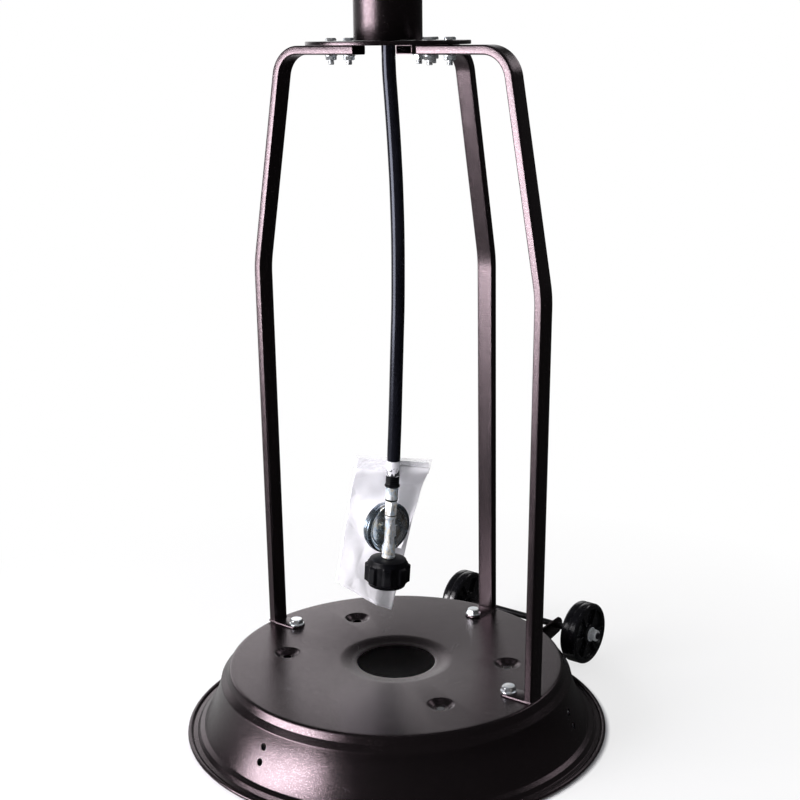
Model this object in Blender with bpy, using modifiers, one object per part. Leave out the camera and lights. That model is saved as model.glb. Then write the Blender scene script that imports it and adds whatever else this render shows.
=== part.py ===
"""Patio heater: a gas heater on a round base, with its hose, regulator, wheels, burner head and reflector.

Metres, +Z up. The base stands on the floor, centred on the origin, and the front looks along -Y.
"""
import math

import bmesh
import bpy
from mathutils import Euler, Matrix, Vector

# General fits
seat_gap = 0.0003
cut_overrun = 0.002
weld_bite = 0.0004
merge_distance = 0.00001

# Directions round the post
front_azimuth = math.radians(-90)
rear_azimuth = math.radians(51.6)
leg_spacing = math.radians(89.5)

# Base dish, spun from sheet
base_radius = 0.2286
base_height = 0.0731
base_flat_radius = 0.1795
base_sheet = 0.0012
base_hole_radius = 0.0425
recess_radius = 0.0612
recess_depth = 0.0025
recess_slope = 0.0015
shoulder_round = 0.0038
band_height = 0.0062
step_reach = 0.0072
step_drop = 0.0042
flank_foot_radius = 0.2097
flank_foot_height = 0.0118
flank_hollow = 0.0022
bead_radius = 0.0042
bead_tread = 0.001
dimple_radius = 0.0125
dimple_depth = 0.0034
dimple_taper = 0.003
dimple_circle_radius = 0.1215
dimple_hole_radius = 0.0035
dimple_azimuths = [math.radians(angle) for angle in (60, 120, -60, -120)]
spare_hole_radius = 0.0038
spare_hole_heights = (0.0430, 0.0285)
spare_hole_azimuths = (math.radians(-74.1), math.radians(174.9))

# Legs, bent from rectangular tube
tube_depth = 0.0092
tube_width = 0.0202
tube_wall = 0.0012
tube_edge_round = 0.001
leg_foot_radius = 0.1757
leg_knee_radius = 0.1801
leg_knee_height = 0.4915
leg_lean_share = 0.18
leg_end_radius = 0.038
leg_top_bend = 0.03
leg_knee_bend = 0.12
leg_splays = {"left": 0.0, "rear": -0.0084, "right": 0.0025}
tab_sheet = 0.0016
tab_margin = 0.0115

# Post and its flange
flange_radius = 0.0815
flange_sheet = 0.004
flange_mid_height = 0.7259
post_radius = 0.034
post_wall = 0.0015
post_length = 0.970

# Fasteners: shank radius, head width over flats, head height
foot_bolt_radius = 0.004
foot_bolt_flats = 0.013
foot_bolt_head = 0.0052
foot_bolt_circle_radius = 0.1468
foot_washer_radius = 0.0085
foot_washer_sheet = 0.0012
foot_nut_height = 0.0065
flange_bolt_radius = 0.003
flange_bolt_flats = 0.010
flange_bolt_head = 0.0028
flange_bolt_circle_radii = {"inner": 0.0505, "outer": 0.0745}
flange_nut_height = 0.005
thread_end = 0.0045
head_chamfer = 0.0007

# Wheels, axle and bracket
wheel_radius = 0.0365
wheel_width = 0.0215
wheel_edge_round = 0.004
wheel_dish_depth = 0.0045
wheel_rim_wall = 0.0065
wheel_hub_radius = 0.0115
wheel_rib_count = 6
wheel_rib_width = 0.0024
wheel_rib_set_back = 0.001
wheel_track = 0.1735
axle_radius = 0.004
axle_reach = 0.2508
axle_height = 0.0381
axle_nut_flats = 0.013
axle_nut_height = 0.0075
axle_nut_washer_radius = 0.0085
axle_nut_washer_sheet = 0.0014
bracket_sheet = 0.002
bracket_gap = 0.0006
bracket_half_width = 0.0535
bracket_low_height = 0.0195
bracket_high_height = 0.0435
bracket_lug_radius = 0.0095
bracket_screw_radius = 0.0024
bracket_screw_flats = 0.008
bracket_screw_head = 0.0035
bracket_screw_length = 0.012
bracket_screw_height = 0.0355

# Gas hose: the free stretch's route was chosen by hand
hose_radius = 0.007
hose_route = [
    (0.0002, 0.0000, 0.7236), (0.0006, 0.0003, 0.6990), (0.0022, 0.0010, 0.6720),
    (0.0040, 0.0018, 0.6415), (0.0054, 0.0024, 0.6119), (0.0065, 0.0028, 0.5820),
    (0.0073, 0.0030, 0.5316), (0.0067, 0.0028, 0.4698), (0.0053, 0.0022, 0.4280),
    (0.0037, 0.0014, 0.3855), (0.0021, 0.0006, 0.3425), (0.0007, 0.0001, 0.3120),
    (0.0001, 0.0000, 0.2985),
]
hose_point_spacing = 0.015
hose_bevel_resolution = 3
held_hose_bevel_resolution = 2

# Hose end and regulator, hung on a line that leans a little
drop_tilt = math.radians(3.8)
sleeve_length = 0.0165
sleeve_radius = 0.0075
ferrule_length = 0.0122
ferrule_radius = 0.0072
ferrule_flare_radius = 0.0081
ferrule_flare_length = 0.0022
fitting_radius = 0.0069
fitting_length = 0.0150
fitting_neck_radius = 0.0045
fitting_neck_length = 0.0018
swivel_flats = 0.0122
swivel_length = 0.0160
stem_radius = 0.0054
stem_length = 0.0404
collar_radius = 0.0072
collar_length = 0.0145
case_radius = 0.0280
case_depth = 0.0080
case_rim = 0.0042
case_step = 0.0018
case_dish_depth = 0.0034
case_yaw = math.radians(36)
case_set_back = 0.0090
case_centre_drop = 0.0180
case_boss_radius = 0.0085
cover_radius = 0.0270
cover_depth = 0.0082
cover_crown_radius = 0.0155
vent_radius = 0.0030
vent_length = 0.0040
spindle_radius = 0.0046
spindle_flange_radius = 0.0085
spindle_flange_sheet = 0.0030
handwheel_radius = 0.0246
handwheel_neck_radius = 0.0202
handwheel_length = 0.0310
handwheel_lobes = 8
handwheel_lobe_depth_share = 0.09
handwheel_lobe_length = 0.0190
handwheel_collar_length = 0.0120
handwheel_mouth_radius = 0.0150
nipple_radius = 0.0070
nipple_length = 0.0170

# Blank leaflet hung behind the regulator, its corners as shares of its width and drop
leaflet_width = 0.077
leaflet_drop = 0.186
leaflet_corner_shares = [(-0.51, 0.005), (0.49, -0.03), (-0.04, -1.0), (-0.82, -0.81)]
leaflet_sheet = 0.0008
leaflet_bulge = 0.034
leaflet_bend_length = 0.045
leaflet_bend_steps = 5

# Control bowl on the post
bowl_radius = 0.094
bowl_sheet = 0.0012
bowl_collar_length = 0.045
bowl_cone_rise = 0.075
bowl_wall_height = 0.125
bowl_base_round = 0.012
bowl_slot_count = 8
bowl_slot_width = 0.006
bowl_slot_height = 0.030
bowl_slot_drop = 0.024

# Valve, control knob and igniter
valve_width = 0.030
valve_height = 0.046
valve_set_back = 0.030
valve_rise = 0.055
valve_nozzle_radius = 0.0050
valve_nozzle_length = 0.012
valve_nose_radius = 0.0075
valve_nose_gap = 0.012
spindle_engagement = 0.014
valve_shaft_radius = 0.0040
knob_radius = 0.021
knob_length = 0.017
knob_skirt_radius = 0.0245
knob_skirt_length = 0.004
knob_grip_width = 0.009
knob_grip_height = 0.007
knob_wall_clearance = 0.0042
knob_travel = 0.003
knob_bore_depth = 0.011
igniter_azimuth = math.radians(-58)
igniter_bezel_radius = 0.0125
igniter_bezel_length = 0.0035
igniter_barrel_radius = 0.0095
igniter_barrel_length = 0.030
igniter_spring_room = 0.0027
button_radius = 0.0068
button_proud = 0.0042
button_travel = 0.0035
button_length = 0.0120

# Burner under the emitter screen
deck_overhang = 0.010
deck_sheet = 0.0020
deck_hole_radius = 0.022
burner_tube_radius = 0.017
burner_tube_wall = 0.0012
burner_tube_length = 0.046
burner_flange_radius = 0.030
burner_flange_sheet = 0.0020
burner_head_radius = 0.040
burner_head_height = 0.030
burner_head_sheet = 0.0015
burner_slot_count = 8
burner_slot_width = 0.004
burner_slot_height = 0.014
pilot_radius = 0.0024
pilot_offset = 0.055
pilot_rise = 0.034
pilot_drop = 0.012

# Emitter screen and its cap
screen_set_in = 0.005
screen_taper = 0.005
screen_sheet = 0.0010
screen_height = 0.235
screen_slot_rows = 4
screen_slot_columns = 12
screen_slot_width = 0.016
screen_slot_height = 0.034
screen_foot_margin = 0.022
cap_overhang = 0.0075
cap_sheet = 0.0012
cap_skirt = 0.020
cap_rise = 0.018

# Reflector on three spacers
reflector_radius = 0.4064
reflector_sheet = 0.0010
reflector_crown_radius = 0.085
reflector_drop = 0.082
reflector_lip = 0.020
reflector_lip_reach = 0.012
reflector_bow = 0.010
spacer_circle_radius = 0.060
spacer_radius = 0.0055
spacer_length = 0.046
spacer_spigot_radius = 0.0030
wing_radius = 0.0065
wing_height = 0.0080
wing_span = 0.030
wing_sheet = 0.0022

# Steps round turned pieces
dish_steps = 52
reflector_steps = 42
head_steps = 28
small_steps = 18
tiny_steps = 10
arc_steps = 2
flank_steps = 3
bracket_steps = 5
bend_steps = 4
bow_steps = 3

# Finishes: colour, metallic, roughness
finishes = {
    "powder_coat": ((0.055, 0.046, 0.047), 0.35, 0.42),
    "zinc": ((0.62, 0.64, 0.66), 1.0, 0.30),
    "black_plastic": ((0.012, 0.012, 0.014), 0.0, 0.35),
    "wheel_plastic": ((0.010, 0.010, 0.012), 0.0, 0.22),
    "black_steel": ((0.020, 0.020, 0.022), 0.6, 0.38),
    "black_rubber": ((0.014, 0.014, 0.016), 0.0, 0.50),
    "brass": ((0.70, 0.52, 0.22), 1.0, 0.28),
    "white_sleeve": ((0.82, 0.82, 0.84), 0.0, 0.55),
    "paper": ((0.80, 0.79, 0.82), 0.0, 0.70),
    "stainless": ((0.60, 0.59, 0.57), 1.0, 0.33),
    "aluminium": ((0.78, 0.78, 0.79), 1.0, 0.38),
    "red_plastic": ((0.55, 0.03, 0.02), 0.0, 0.40),
}

# Heights and places that follow from the sizes above
flank_top_radius = base_flat_radius + shoulder_round + step_reach
flank_top_height = base_height - shoulder_round - band_height - step_drop
foot_seat_height = base_height + seat_gap
tab_top_height = foot_seat_height + tab_sheet
flange_bottom = flange_mid_height - flange_sheet / 2
flange_top = flange_mid_height + flange_sheet / 2
leg_run_height = flange_bottom - seat_gap - tube_depth / 2
post_bottom = flange_top + seat_gap
post_top = post_bottom + post_length
bowl_foot = post_top - bowl_collar_length
bowl_cone_top = post_top + bowl_cone_rise
bowl_top = bowl_cone_top + bowl_wall_height
valve_height_mid = bowl_cone_top + valve_rise
deck_bottom = bowl_top + seat_gap
deck_top = deck_bottom + deck_sheet
screen_bottom = deck_top + seat_gap
screen_top = screen_bottom + screen_height
cap_top = screen_top + seat_gap + cap_sheet + cap_rise
spacer_bottom = cap_top + seat_gap
reflector_seat = spacer_bottom + spacer_length
reflector_top = reflector_seat + seat_gap + reflector_sheet
deck_radius = bowl_radius + deck_overhang
screen_radius = deck_radius - screen_set_in
screen_top_radius = screen_radius - screen_taper
cap_radius = screen_top_radius + cap_overhang
igniter_bore_depth = button_length - button_proud + button_travel + igniter_spring_room

# The axle's direction, and the turn that lays a piece's own Z axis along it
axle_way = Vector((-math.sin(rear_azimuth), math.cos(rear_azimuth), 0))
axle_turn = (-math.pi / 2, 0, rear_azimuth)

collection = None


def start_scene():
    """Empty the scene and make the heater's collection."""
    global collection
    for scene_object in list(bpy.data.objects):
        bpy.data.objects.remove(scene_object)
    collection = bpy.data.collections.new("patio_heater")
    bpy.context.scene.collection.children.link(collection)


def finish(name):
    """Return the Principled material of a named finish."""
    if name in bpy.data.materials:
        return bpy.data.materials[name]
    colour, metallic, roughness = finishes[name]
    made = bpy.data.materials.new(name)
    made.use_nodes = True
    shader = made.node_tree.nodes["Principled BSDF"]
    shader.inputs["Base Color"].default_value = (*colour, 1.0)
    shader.inputs["Metallic"].default_value = metallic
    shader.inputs["Roughness"].default_value = roughness
    made.diffuse_color = (*colour, 1.0)
    return made


def add_object(name, data):
    """Link new object data into the heater's collection."""
    made = bpy.data.objects.new(name, data)
    collection.objects.link(made)
    return made


def bake(piece):
    """Replace an object's mesh by its shape with all modifiers, and weld it."""
    bpy.context.view_layer.update()
    graph = bpy.context.evaluated_depsgraph_get()
    shape = bpy.data.meshes.new_from_object(piece.evaluated_get(graph))
    if piece.type == "CURVE":
        solid = add_object("solid", shape)
        solid.matrix_world = piece.matrix_world
        bpy.data.objects.remove(piece)
        weld(solid)
        return solid
    piece.modifiers.clear()
    piece.data = shape
    return piece


def weld(piece):
    """Join the points that lie on each other and make the faces look outwards."""
    shape = bmesh.new()
    shape.from_mesh(piece.data)
    bmesh.ops.remove_doubles(shape, verts=shape.verts, dist=merge_distance)
    bmesh.ops.recalc_face_normals(shape, faces=shape.faces)
    shape.to_mesh(piece.data)
    shape.free()


def settle(piece):
    """Write a piece's place and turn into its mesh."""
    bpy.context.view_layer.update()
    piece.data.transform(piece.matrix_world)
    piece.matrix_world = Matrix.Identity(4)
    return piece


def combine(piece, others, operation):
    """Cut others out of a piece, or join them to it."""
    settle(piece)
    for other in others:
        step = piece.modifiers.new(operation.lower(), "BOOLEAN")
        step.object = other
        step.operation = operation
        step.solver = "EXACT"
        bake(piece)
        bpy.data.objects.remove(other)
    return piece


def cut(piece, *others):
    """Cut each of the others out of a piece."""
    return combine(piece, others, "DIFFERENCE")


def join(piece, *others):
    """Join each of the others to a piece that it overlaps."""
    return combine(piece, others, "UNION")


def gathered(pieces):
    """Put separate solids into one object, to cut them out together."""
    shape = bmesh.new()
    bpy.context.view_layer.update()
    for piece in pieces:
        copy = piece.data.copy()
        copy.transform(piece.matrix_world)
        shape.from_mesh(copy)
        bpy.data.meshes.remove(copy)
        bpy.data.objects.remove(piece)
    data = bpy.data.meshes.new("gathered")
    shape.to_mesh(data)
    shape.free()
    return add_object("gathered", data)


def placed(piece, location=(0, 0, 0), rotation=(0, 0, 0)):
    """Move and turn a piece, and return it."""
    piece.location = location
    piece.rotation_euler = rotation
    return piece


def finished(piece, name, finish_name, sharp_angle=math.radians(35)):
    """Name a piece, shade it and give it its finish."""
    piece.name = name
    piece.data.name = name
    piece.data.materials.clear()
    piece.data.materials.append(finish(finish_name))
    piece.data.shade_smooth()
    piece.data.set_sharp_from_angle(angle=sharp_angle)
    return piece


def copy_of(piece, name, location, rotation):
    """Return another object that shares a piece's mesh."""
    return placed(add_object(name, piece.data), location, rotation)


def polar(radius, azimuth, height=0.0):
    """Return the point at a radius, azimuth and height about the post."""
    return Vector((radius * math.cos(azimuth), radius * math.sin(azimuth), height))


def box(size, location=(0, 0, 0), rotation=(0, 0, 0)):
    """Return a box of a given size about its middle."""
    shape = bmesh.new()
    bmesh.ops.create_cube(shape, size=1, matrix=Matrix.Diagonal((*size, 1)))
    data = bpy.data.meshes.new("box")
    shape.to_mesh(data)
    shape.free()
    return placed(add_object("box", data), location, rotation)


def prism(radius, height, sides, location=(0, 0, 0), rotation=(0, 0, 0)):
    """Return an upright prism or cylinder that stands on its location."""
    shape = bmesh.new()
    bmesh.ops.create_cone(
        shape, cap_ends=True, segments=sides, radius1=radius, radius2=radius, depth=height,
        matrix=Matrix.Translation((0, 0, height / 2)),
    )
    data = bpy.data.meshes.new("prism")
    shape.to_mesh(data)
    shape.free()
    return placed(add_object("prism", data), location, rotation)


def hexagon(flats, height, location=(0, 0, 0)):
    """Return a hexagonal prism with chamfered ends, by its width over flats."""
    head = prism(flats / math.sqrt(3), height, 6, location)
    chamfer = head.modifiers.new("chamfer", "BEVEL")
    chamfer.width = head_chamfer
    chamfer.segments = 1
    chamfer.limit_method = "ANGLE"
    chamfer.angle_limit = math.radians(75)
    return bake(head)


def turned(profile, steps, closed=False, sheet=0.0, angle=math.tau):
    """Turn a profile of (radius, height) points about Z, as a solid or as a shell of sheet."""
    data = bpy.data.meshes.new("turned")
    count = len(profile)
    edges = [(index, index + 1) for index in range(count - 1)]
    if closed:
        edges.append((count - 1, 0))
    data.from_pydata([(radius, 0, height) for radius, height in profile], edges, [])
    piece = add_object("turned", data)
    screw = piece.modifiers.new("screw", "SCREW")
    screw.angle = angle
    screw.steps = steps
    screw.render_steps = steps
    screw.use_merge_vertices = True
    screw.merge_threshold = merge_distance
    if sheet:
        shell = piece.modifiers.new("shell", "SOLIDIFY")
        shell.thickness = sheet
        shell.offset = -1
        shell.use_even_offset = True
    return bake(piece)


def ring(inner, outer, bottom, top, steps):
    """Return a plain ring or tube."""
    profile = [(outer, top), (outer, bottom), (inner, bottom), (inner, top)]
    return turned(profile, steps, closed=True)


def outline(points, thickness, rounding=0.0):
    """Return a flat plate with the outline of the points in its own XY plane."""
    curve = bpy.data.curves.new("outline", "CURVE")
    curve.dimensions = "2D"
    curve.fill_mode = "BOTH"
    curve.extrude = thickness / 2
    line = curve.splines.new("POLY")
    line.points.add(len(points) - 1)
    for point, (x, y) in zip(line.points, points):
        point.co = (x, y, 0, 1)
    line.use_cyclic_u = True
    plate = bake(add_object("outline", curve))
    if rounding:
        edge = plate.modifiers.new("edge", "BEVEL")
        edge.width = rounding
        edge.segments = 2
        edge.limit_method = "ANGLE"
        edge.angle_limit = math.radians(60)
        bake(plate)
    return plate


def round_tube(points, radius, resolution):
    """Return a round bar along a line of points."""
    curve = bpy.data.curves.new("tube", "CURVE")
    curve.dimensions = "3D"
    curve.bevel_depth = radius
    curve.bevel_resolution = resolution
    curve.use_fill_caps = True
    curve.resolution_u = 1
    line = curve.splines.new("POLY")
    line.points.add(len(points) - 1)
    for point, place in zip(line.points, points):
        point.co = (*place, 1)
    return bake(add_object("tube", curve))


def arc(centre, radius, start, end, count):
    """Return points along an arc, from one angle to the other."""
    points = []
    for index in range(count + 1):
        angle = start + (end - start) * index / count
        points.append((centre[0] + radius * math.cos(angle), centre[1] + radius * math.sin(angle)))
    return points


def bent_line(corners, bends):
    """Return a line through corners, each rounded by its bend radius."""
    points = [Vector(corners[0])]
    for before, corner, after, bend in zip(corners, corners[1:], corners[2:], bends):
        corner = Vector(corner)
        backward = (Vector(before) - corner).normalized()
        forward = (Vector(after) - corner).normalized()
        half_angle = backward.angle(forward) / 2
        middle = corner + (backward + forward).normalized() * bend / math.sin(half_angle)
        start = corner + backward * bend / math.tan(half_angle) - middle
        end = corner + forward * bend / math.tan(half_angle) - middle
        for index in range(bend_steps + 1):
            share = index / bend_steps
            points.append(middle + start.lerp(end, share).normalized() * bend)
    points.append(Vector(corners[-1]))
    return points


def side_line(points, distance):
    """Return a line beside another in its plane, at a distance to its left."""
    sides = []
    for index, point in enumerate(points):
        before = points[max(index - 1, 0)]
        after = points[min(index + 1, len(points) - 1)]
        first = (point - before).normalized() if index else (after - point).normalized()
        second = (after - point).normalized() if index < len(points) - 1 else first
        normals = [Vector((-way.y, way.x)) for way in (first, second)]
        middle = (normals[0] + normals[1]).normalized()
        sides.append(point + middle * distance / middle.dot(normals[0]))
    return sides


def smooth_line(route, spacing):
    """Return evenly spaced points on a smooth curve through a route."""
    places = [Vector(place) for place in route]
    padded = [2 * places[0] - places[1], *places, 2 * places[-1] - places[-2]]
    fine = []
    for first, second, third, fourth in zip(padded, padded[1:], padded[2:], padded[3:]):
        pieces = max(2, math.ceil((third - second).length / spacing * 4))
        for index in range(pieces):
            share = index / pieces
            pull = (third - first) * share / 2
            square = (2 * first - 5 * second + 4 * third - fourth) * share**2 / 2
            cube = (3 * second - first - 3 * third + fourth) * share**3 / 2
            fine.append(second + pull + square + cube)
    fine.append(places[-1])
    total = sum((after - before).length for before, after in zip(fine, fine[1:]))
    count = max(2, round(total / spacing))
    wanted = [total * index / count for index in range(1, count)]
    points = [fine[0]]
    walked = 0.0
    for before, after in zip(fine, fine[1:]):
        length = (after - before).length
        while wanted and walked + length >= wanted[0]:
            points.append(before.lerp(after, (wanted.pop(0) - walked) / length))
        walked += length
    points.append(fine[-1])
    return points


def leg_azimuth(side):
    """Return the direction in which a leg stands."""
    return rear_azimuth + {"left": leg_spacing, "rear": 0.0, "right": -leg_spacing}[side]


def flank_points():
    """Return the points of the dish's hollow flank as (radius, height), top first."""
    points = []
    for index in range(flank_steps + 1):
        share = index / flank_steps
        straight = flank_top_radius + (flank_foot_radius - flank_top_radius) * share
        height = flank_top_height + (flank_foot_height - flank_top_height) * share
        points.append((straight - 4 * flank_hollow * share * (1 - share), height))
    return points


def flank_place(height):
    """Return the flank's radius at a height, and how far it leans back there."""
    points = flank_points()
    for upper, lower in zip(points, points[1:]):
        if lower[1] <= height <= upper[1]:
            break
    share = (upper[1] - height) / (upper[1] - lower[1])
    lean = math.atan2(lower[0] - upper[0], upper[1] - lower[1])
    return upper[0] + (lower[0] - upper[0]) * share, lean


def flank_radius(height):
    """Return the flank's radius at a height."""
    return flank_place(height)[0]


def base_profile():
    """Return the dish's upper surface from its hole to the rolled edge."""
    shoulder_centre = (base_flat_radius, base_height - shoulder_round)
    bead_centre = (base_radius - bead_radius, bead_radius)
    points = [
        (base_hole_radius, base_height - recess_depth),
        (recess_radius - recess_slope, base_height - recess_depth),
        (recess_radius, base_height),
        *arc(shoulder_centre, shoulder_round, math.pi / 2, 0, arc_steps),
        (base_flat_radius + shoulder_round, flank_top_height + step_drop),
    ]
    points += flank_points()
    points += arc(bead_centre, bead_radius, math.pi / 2, 0, arc_steps)
    points += [
        (bead_centre[0] + bead_radius * math.cos(math.pi / 4), bead_radius * (1 - math.sin(math.pi / 4))),
        (bead_centre[0] + bead_tread, 0),
        (bead_centre[0] - bead_tread, 0),
    ]
    return points


def radial_pin(radius, azimuth, height, reach, length):
    """Return a level bar along a radius of the heater, centred at a reach from the axis."""
    start = polar(reach - length / 2, azimuth, height)
    return prism(radius, length, small_steps, start, (0, math.pi / 2, azimuth))


def flank_way(azimuth, height):
    """Return a point on the flank, the way square to the surface there and the turn to that way."""
    radius, lean = flank_place(height)
    way = polar(math.cos(lean), azimuth, math.sin(lean))
    return polar(radius, azimuth, height), way, (0, math.pi / 2 - lean, azimuth)


def flank_pin(radius, azimuth, height, length):
    """Return a bar square to the flank, centred on its surface."""
    place, way, turn = flank_way(azimuth, height)
    return prism(radius, length, tiny_steps, place - way * length / 2, turn)


def bracket_screw_azimuths():
    """Return the directions of the bracket's screws, at the middles of two of its facets."""
    facet = 2 * bracket_half_angle() / bracket_steps
    return [rear_azimuth + sign * facet for sign in (1, -1)]


def bracket_half_angle():
    """Return half the angle that the wheel bracket spans round the dish."""
    return math.asin(bracket_half_width / flank_radius(bracket_high_height))


def build_base():
    """Make the spun dish with its dimples and holes."""
    dish = placed(turned(base_profile(), dish_steps, sheet=base_sheet), (0, 0, 0), (0, 0, rear_azimuth))
    well_radius = dimple_radius + weld_bite
    well_top = base_height - weld_bite
    well_floor = base_height - dimple_depth
    well_profile = [
        (well_radius, well_top),
        (well_radius, well_top - base_sheet / 2),
        (dimple_radius - dimple_taper + base_sheet, well_floor - base_sheet),
        (dimple_hole_radius, well_floor - base_sheet),
        (dimple_hole_radius, well_floor),
        (dimple_radius - dimple_taper, well_floor),
        (dimple_radius - weld_bite, well_top),
    ]
    centres = [polar(dimple_circle_radius, rear_azimuth + azimuth) for azimuth in dimple_azimuths]
    cutter_foot = Vector((0, 0, base_height - base_sheet - cut_overrun))
    cutter_length = base_sheet + 2 * cut_overrun
    openings = [
        prism(dimple_radius, cutter_length, small_steps, centre + cutter_foot) for centre in centres
    ]
    for side in leg_splays:
        place = polar(foot_bolt_circle_radius, leg_azimuth(side)) + cutter_foot
        openings.append(prism(foot_bolt_radius + seat_gap, cutter_length, tiny_steps, place))
    for azimuth in spare_hole_azimuths:
        for height in spare_hole_heights:
            place_azimuth = rear_azimuth + azimuth
            openings.append(flank_pin(spare_hole_radius, place_azimuth, height, bracket_screw_length))
    openings += bracket_screw_holes()
    cut(dish, gathered(openings))
    for centre in centres:
        join(dish, placed(turned(well_profile, small_steps, closed=True), centre))
    finished(dish, "base_dish", "powder_coat")


def leg_corners(side, end_extra=0.0):
    """Return the corners of a leg's centre line as (radius, height), top end first."""
    splay = leg_splays[side]
    rise_share = (leg_run_height - base_height) / (leg_knee_height - base_height)
    lean = (leg_run_height - leg_knee_height) * leg_lean_share
    top_splay = splay * rise_share
    return [
        (leg_end_radius + top_splay - end_extra, leg_run_height),
        (leg_knee_radius + top_splay - lean, leg_run_height),
        (leg_knee_radius + splay, leg_knee_height),
        (leg_foot_radius, tab_top_height - weld_bite - end_extra),
    ]


def leg_bar(side, depth, width, end_extra, rounding):
    """Return a bent bar along a leg, standing in the leg's own plane."""
    line = bent_line(leg_corners(side, end_extra), (leg_top_bend, leg_knee_bend))
    points = side_line(line, depth / 2) + side_line(line, -depth / 2)[::-1]
    return placed(outline(points, width, rounding), (0, 0, 0), (math.pi / 2, 0, leg_azimuth(side)))


def build_leg(side):
    """Make a leg: a bent hollow tube with a foot tab and its bolt holes."""
    azimuth = leg_azimuth(side)
    leg = leg_bar(side, tube_depth, tube_width, 0, tube_edge_round)
    cut(leg, leg_bar(side, tube_depth - 2 * tube_wall, tube_width - 2 * tube_wall, cut_overrun, 0))
    tab_outer = leg_foot_radius - tube_depth / 2 + tube_wall
    tab_inner = foot_bolt_circle_radius - tab_margin
    tab_centre = polar((tab_outer + tab_inner) / 2, azimuth, foot_seat_height + tab_sheet / 2)
    tab = box((tab_outer - tab_inner, tube_width, tab_sheet), tab_centre, (0, 0, azimuth))
    join(leg, tab)
    foot_place = polar(foot_bolt_circle_radius, azimuth, foot_seat_height - cut_overrun)
    holes = [prism(foot_bolt_radius + seat_gap, tab_sheet + 2 * cut_overrun, tiny_steps, foot_place)]
    for circle_radius in flange_bolt_circle_radii.values():
        place = polar(circle_radius, azimuth, leg_run_height - tube_depth / 2 - cut_overrun)
        holes.append(prism(flange_bolt_radius + seat_gap, tube_depth + 2 * cut_overrun, tiny_steps, place))
    cut(leg, gathered(holes))
    finished(leg, f"leg_{side}", "powder_coat")


def bolt(radius, flats, head_height, length, washer_radius=0.0, washer_sheet=0.0):
    """Return a hexagon bolt whose head sits on Z = 0, with any washer face under the head."""
    shank = prism(radius, length + head_height / 2, tiny_steps, (0, 0, -length))
    head_seat = washer_sheet - weld_bite if washer_sheet else 0
    join(shank, hexagon(flats, head_height + washer_sheet - head_seat, (0, 0, head_seat)))
    if washer_sheet:
        join(shank, prism(washer_radius, washer_sheet, small_steps))
    return shank


def nut(flats, height, bore_radius):
    """Return a hexagon nut with its top face on Z = 0."""
    bore = prism(bore_radius, height + 2 * cut_overrun, tiny_steps, (0, 0, -height - cut_overrun))
    return cut(hexagon(flats, height, (0, 0, -height)), bore)


def build_foot_fasteners():
    """Make the bolt and nut that hold each leg's foot to the dish."""
    stack = tab_sheet + 2 * seat_gap + base_sheet
    length = stack + seat_gap + foot_nut_height + thread_end
    first_bolt = bolt(
        foot_bolt_radius, foot_bolt_flats, foot_bolt_head, length, foot_washer_radius, foot_washer_sheet
    )
    first_nut = nut(foot_bolt_flats, foot_nut_height, foot_bolt_radius + seat_gap)
    finished(first_bolt, "foot_bolt_master", "zinc")
    finished(first_nut, "foot_nut_master", "zinc")
    for side in leg_splays:
        azimuth = leg_azimuth(side)
        bolt_place = polar(foot_bolt_circle_radius, azimuth, tab_top_height + seat_gap)
        nut_place = polar(foot_bolt_circle_radius, azimuth, base_height - base_sheet - seat_gap)
        copy_of(first_bolt, f"foot_bolt_{side}", bolt_place, (0, 0, azimuth))
        copy_of(first_nut, f"foot_nut_{side}", nut_place, (0, 0, azimuth))
    bpy.data.objects.remove(first_bolt)
    bpy.data.objects.remove(first_nut)


def build_flange():
    """Make the round plate that joins the legs and carries the post."""
    plate = ring(hose_radius + seat_gap, flange_radius, flange_bottom, flange_top, reflector_steps)
    holes = []
    for side in leg_splays:
        for circle_radius in flange_bolt_circle_radii.values():
            place = polar(circle_radius, leg_azimuth(side), flange_bottom - cut_overrun)
            hole_length = flange_sheet + 2 * cut_overrun
            holes.append(prism(flange_bolt_radius + seat_gap, hole_length, tiny_steps, place))
    cut(plate, gathered(holes))
    finished(plate, "post_flange", "powder_coat")


def build_flange_fasteners():
    """Make the two bolts and nuts that hold each leg to the flange."""
    stack = flange_sheet + 2 * seat_gap + tube_depth
    length = stack + seat_gap + flange_nut_height + thread_end
    first_bolt = bolt(flange_bolt_radius, flange_bolt_flats, flange_bolt_head, length)
    first_nut = nut(flange_bolt_flats, flange_nut_height, flange_bolt_radius + seat_gap)
    finished(first_bolt, "flange_bolt_master", "zinc")
    finished(first_nut, "flange_nut_master", "zinc")
    for side in leg_splays:
        azimuth = leg_azimuth(side)
        for row, circle_radius in flange_bolt_circle_radii.items():
            bolt_place = polar(circle_radius, azimuth, flange_top + seat_gap)
            nut_place = polar(circle_radius, azimuth, leg_run_height - tube_depth / 2 - seat_gap)
            copy_of(first_bolt, f"flange_bolt_{side}_{row}", bolt_place, (0, 0, azimuth))
            copy_of(first_nut, f"flange_nut_{side}_{row}", nut_place, (0, 0, azimuth))
    bpy.data.objects.remove(first_bolt)
    bpy.data.objects.remove(first_nut)


def build_post():
    """Make the post: a plain round tube on the flange."""
    tube = ring(post_radius - post_wall, post_radius, post_bottom, post_top, head_steps)
    finished(tube, "post", "powder_coat")


def axle_place(sideways=0.0):
    """Return a point on the axle, at a distance from its middle."""
    return polar(axle_reach, rear_azimuth, axle_height) + axle_way * sideways


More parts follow.
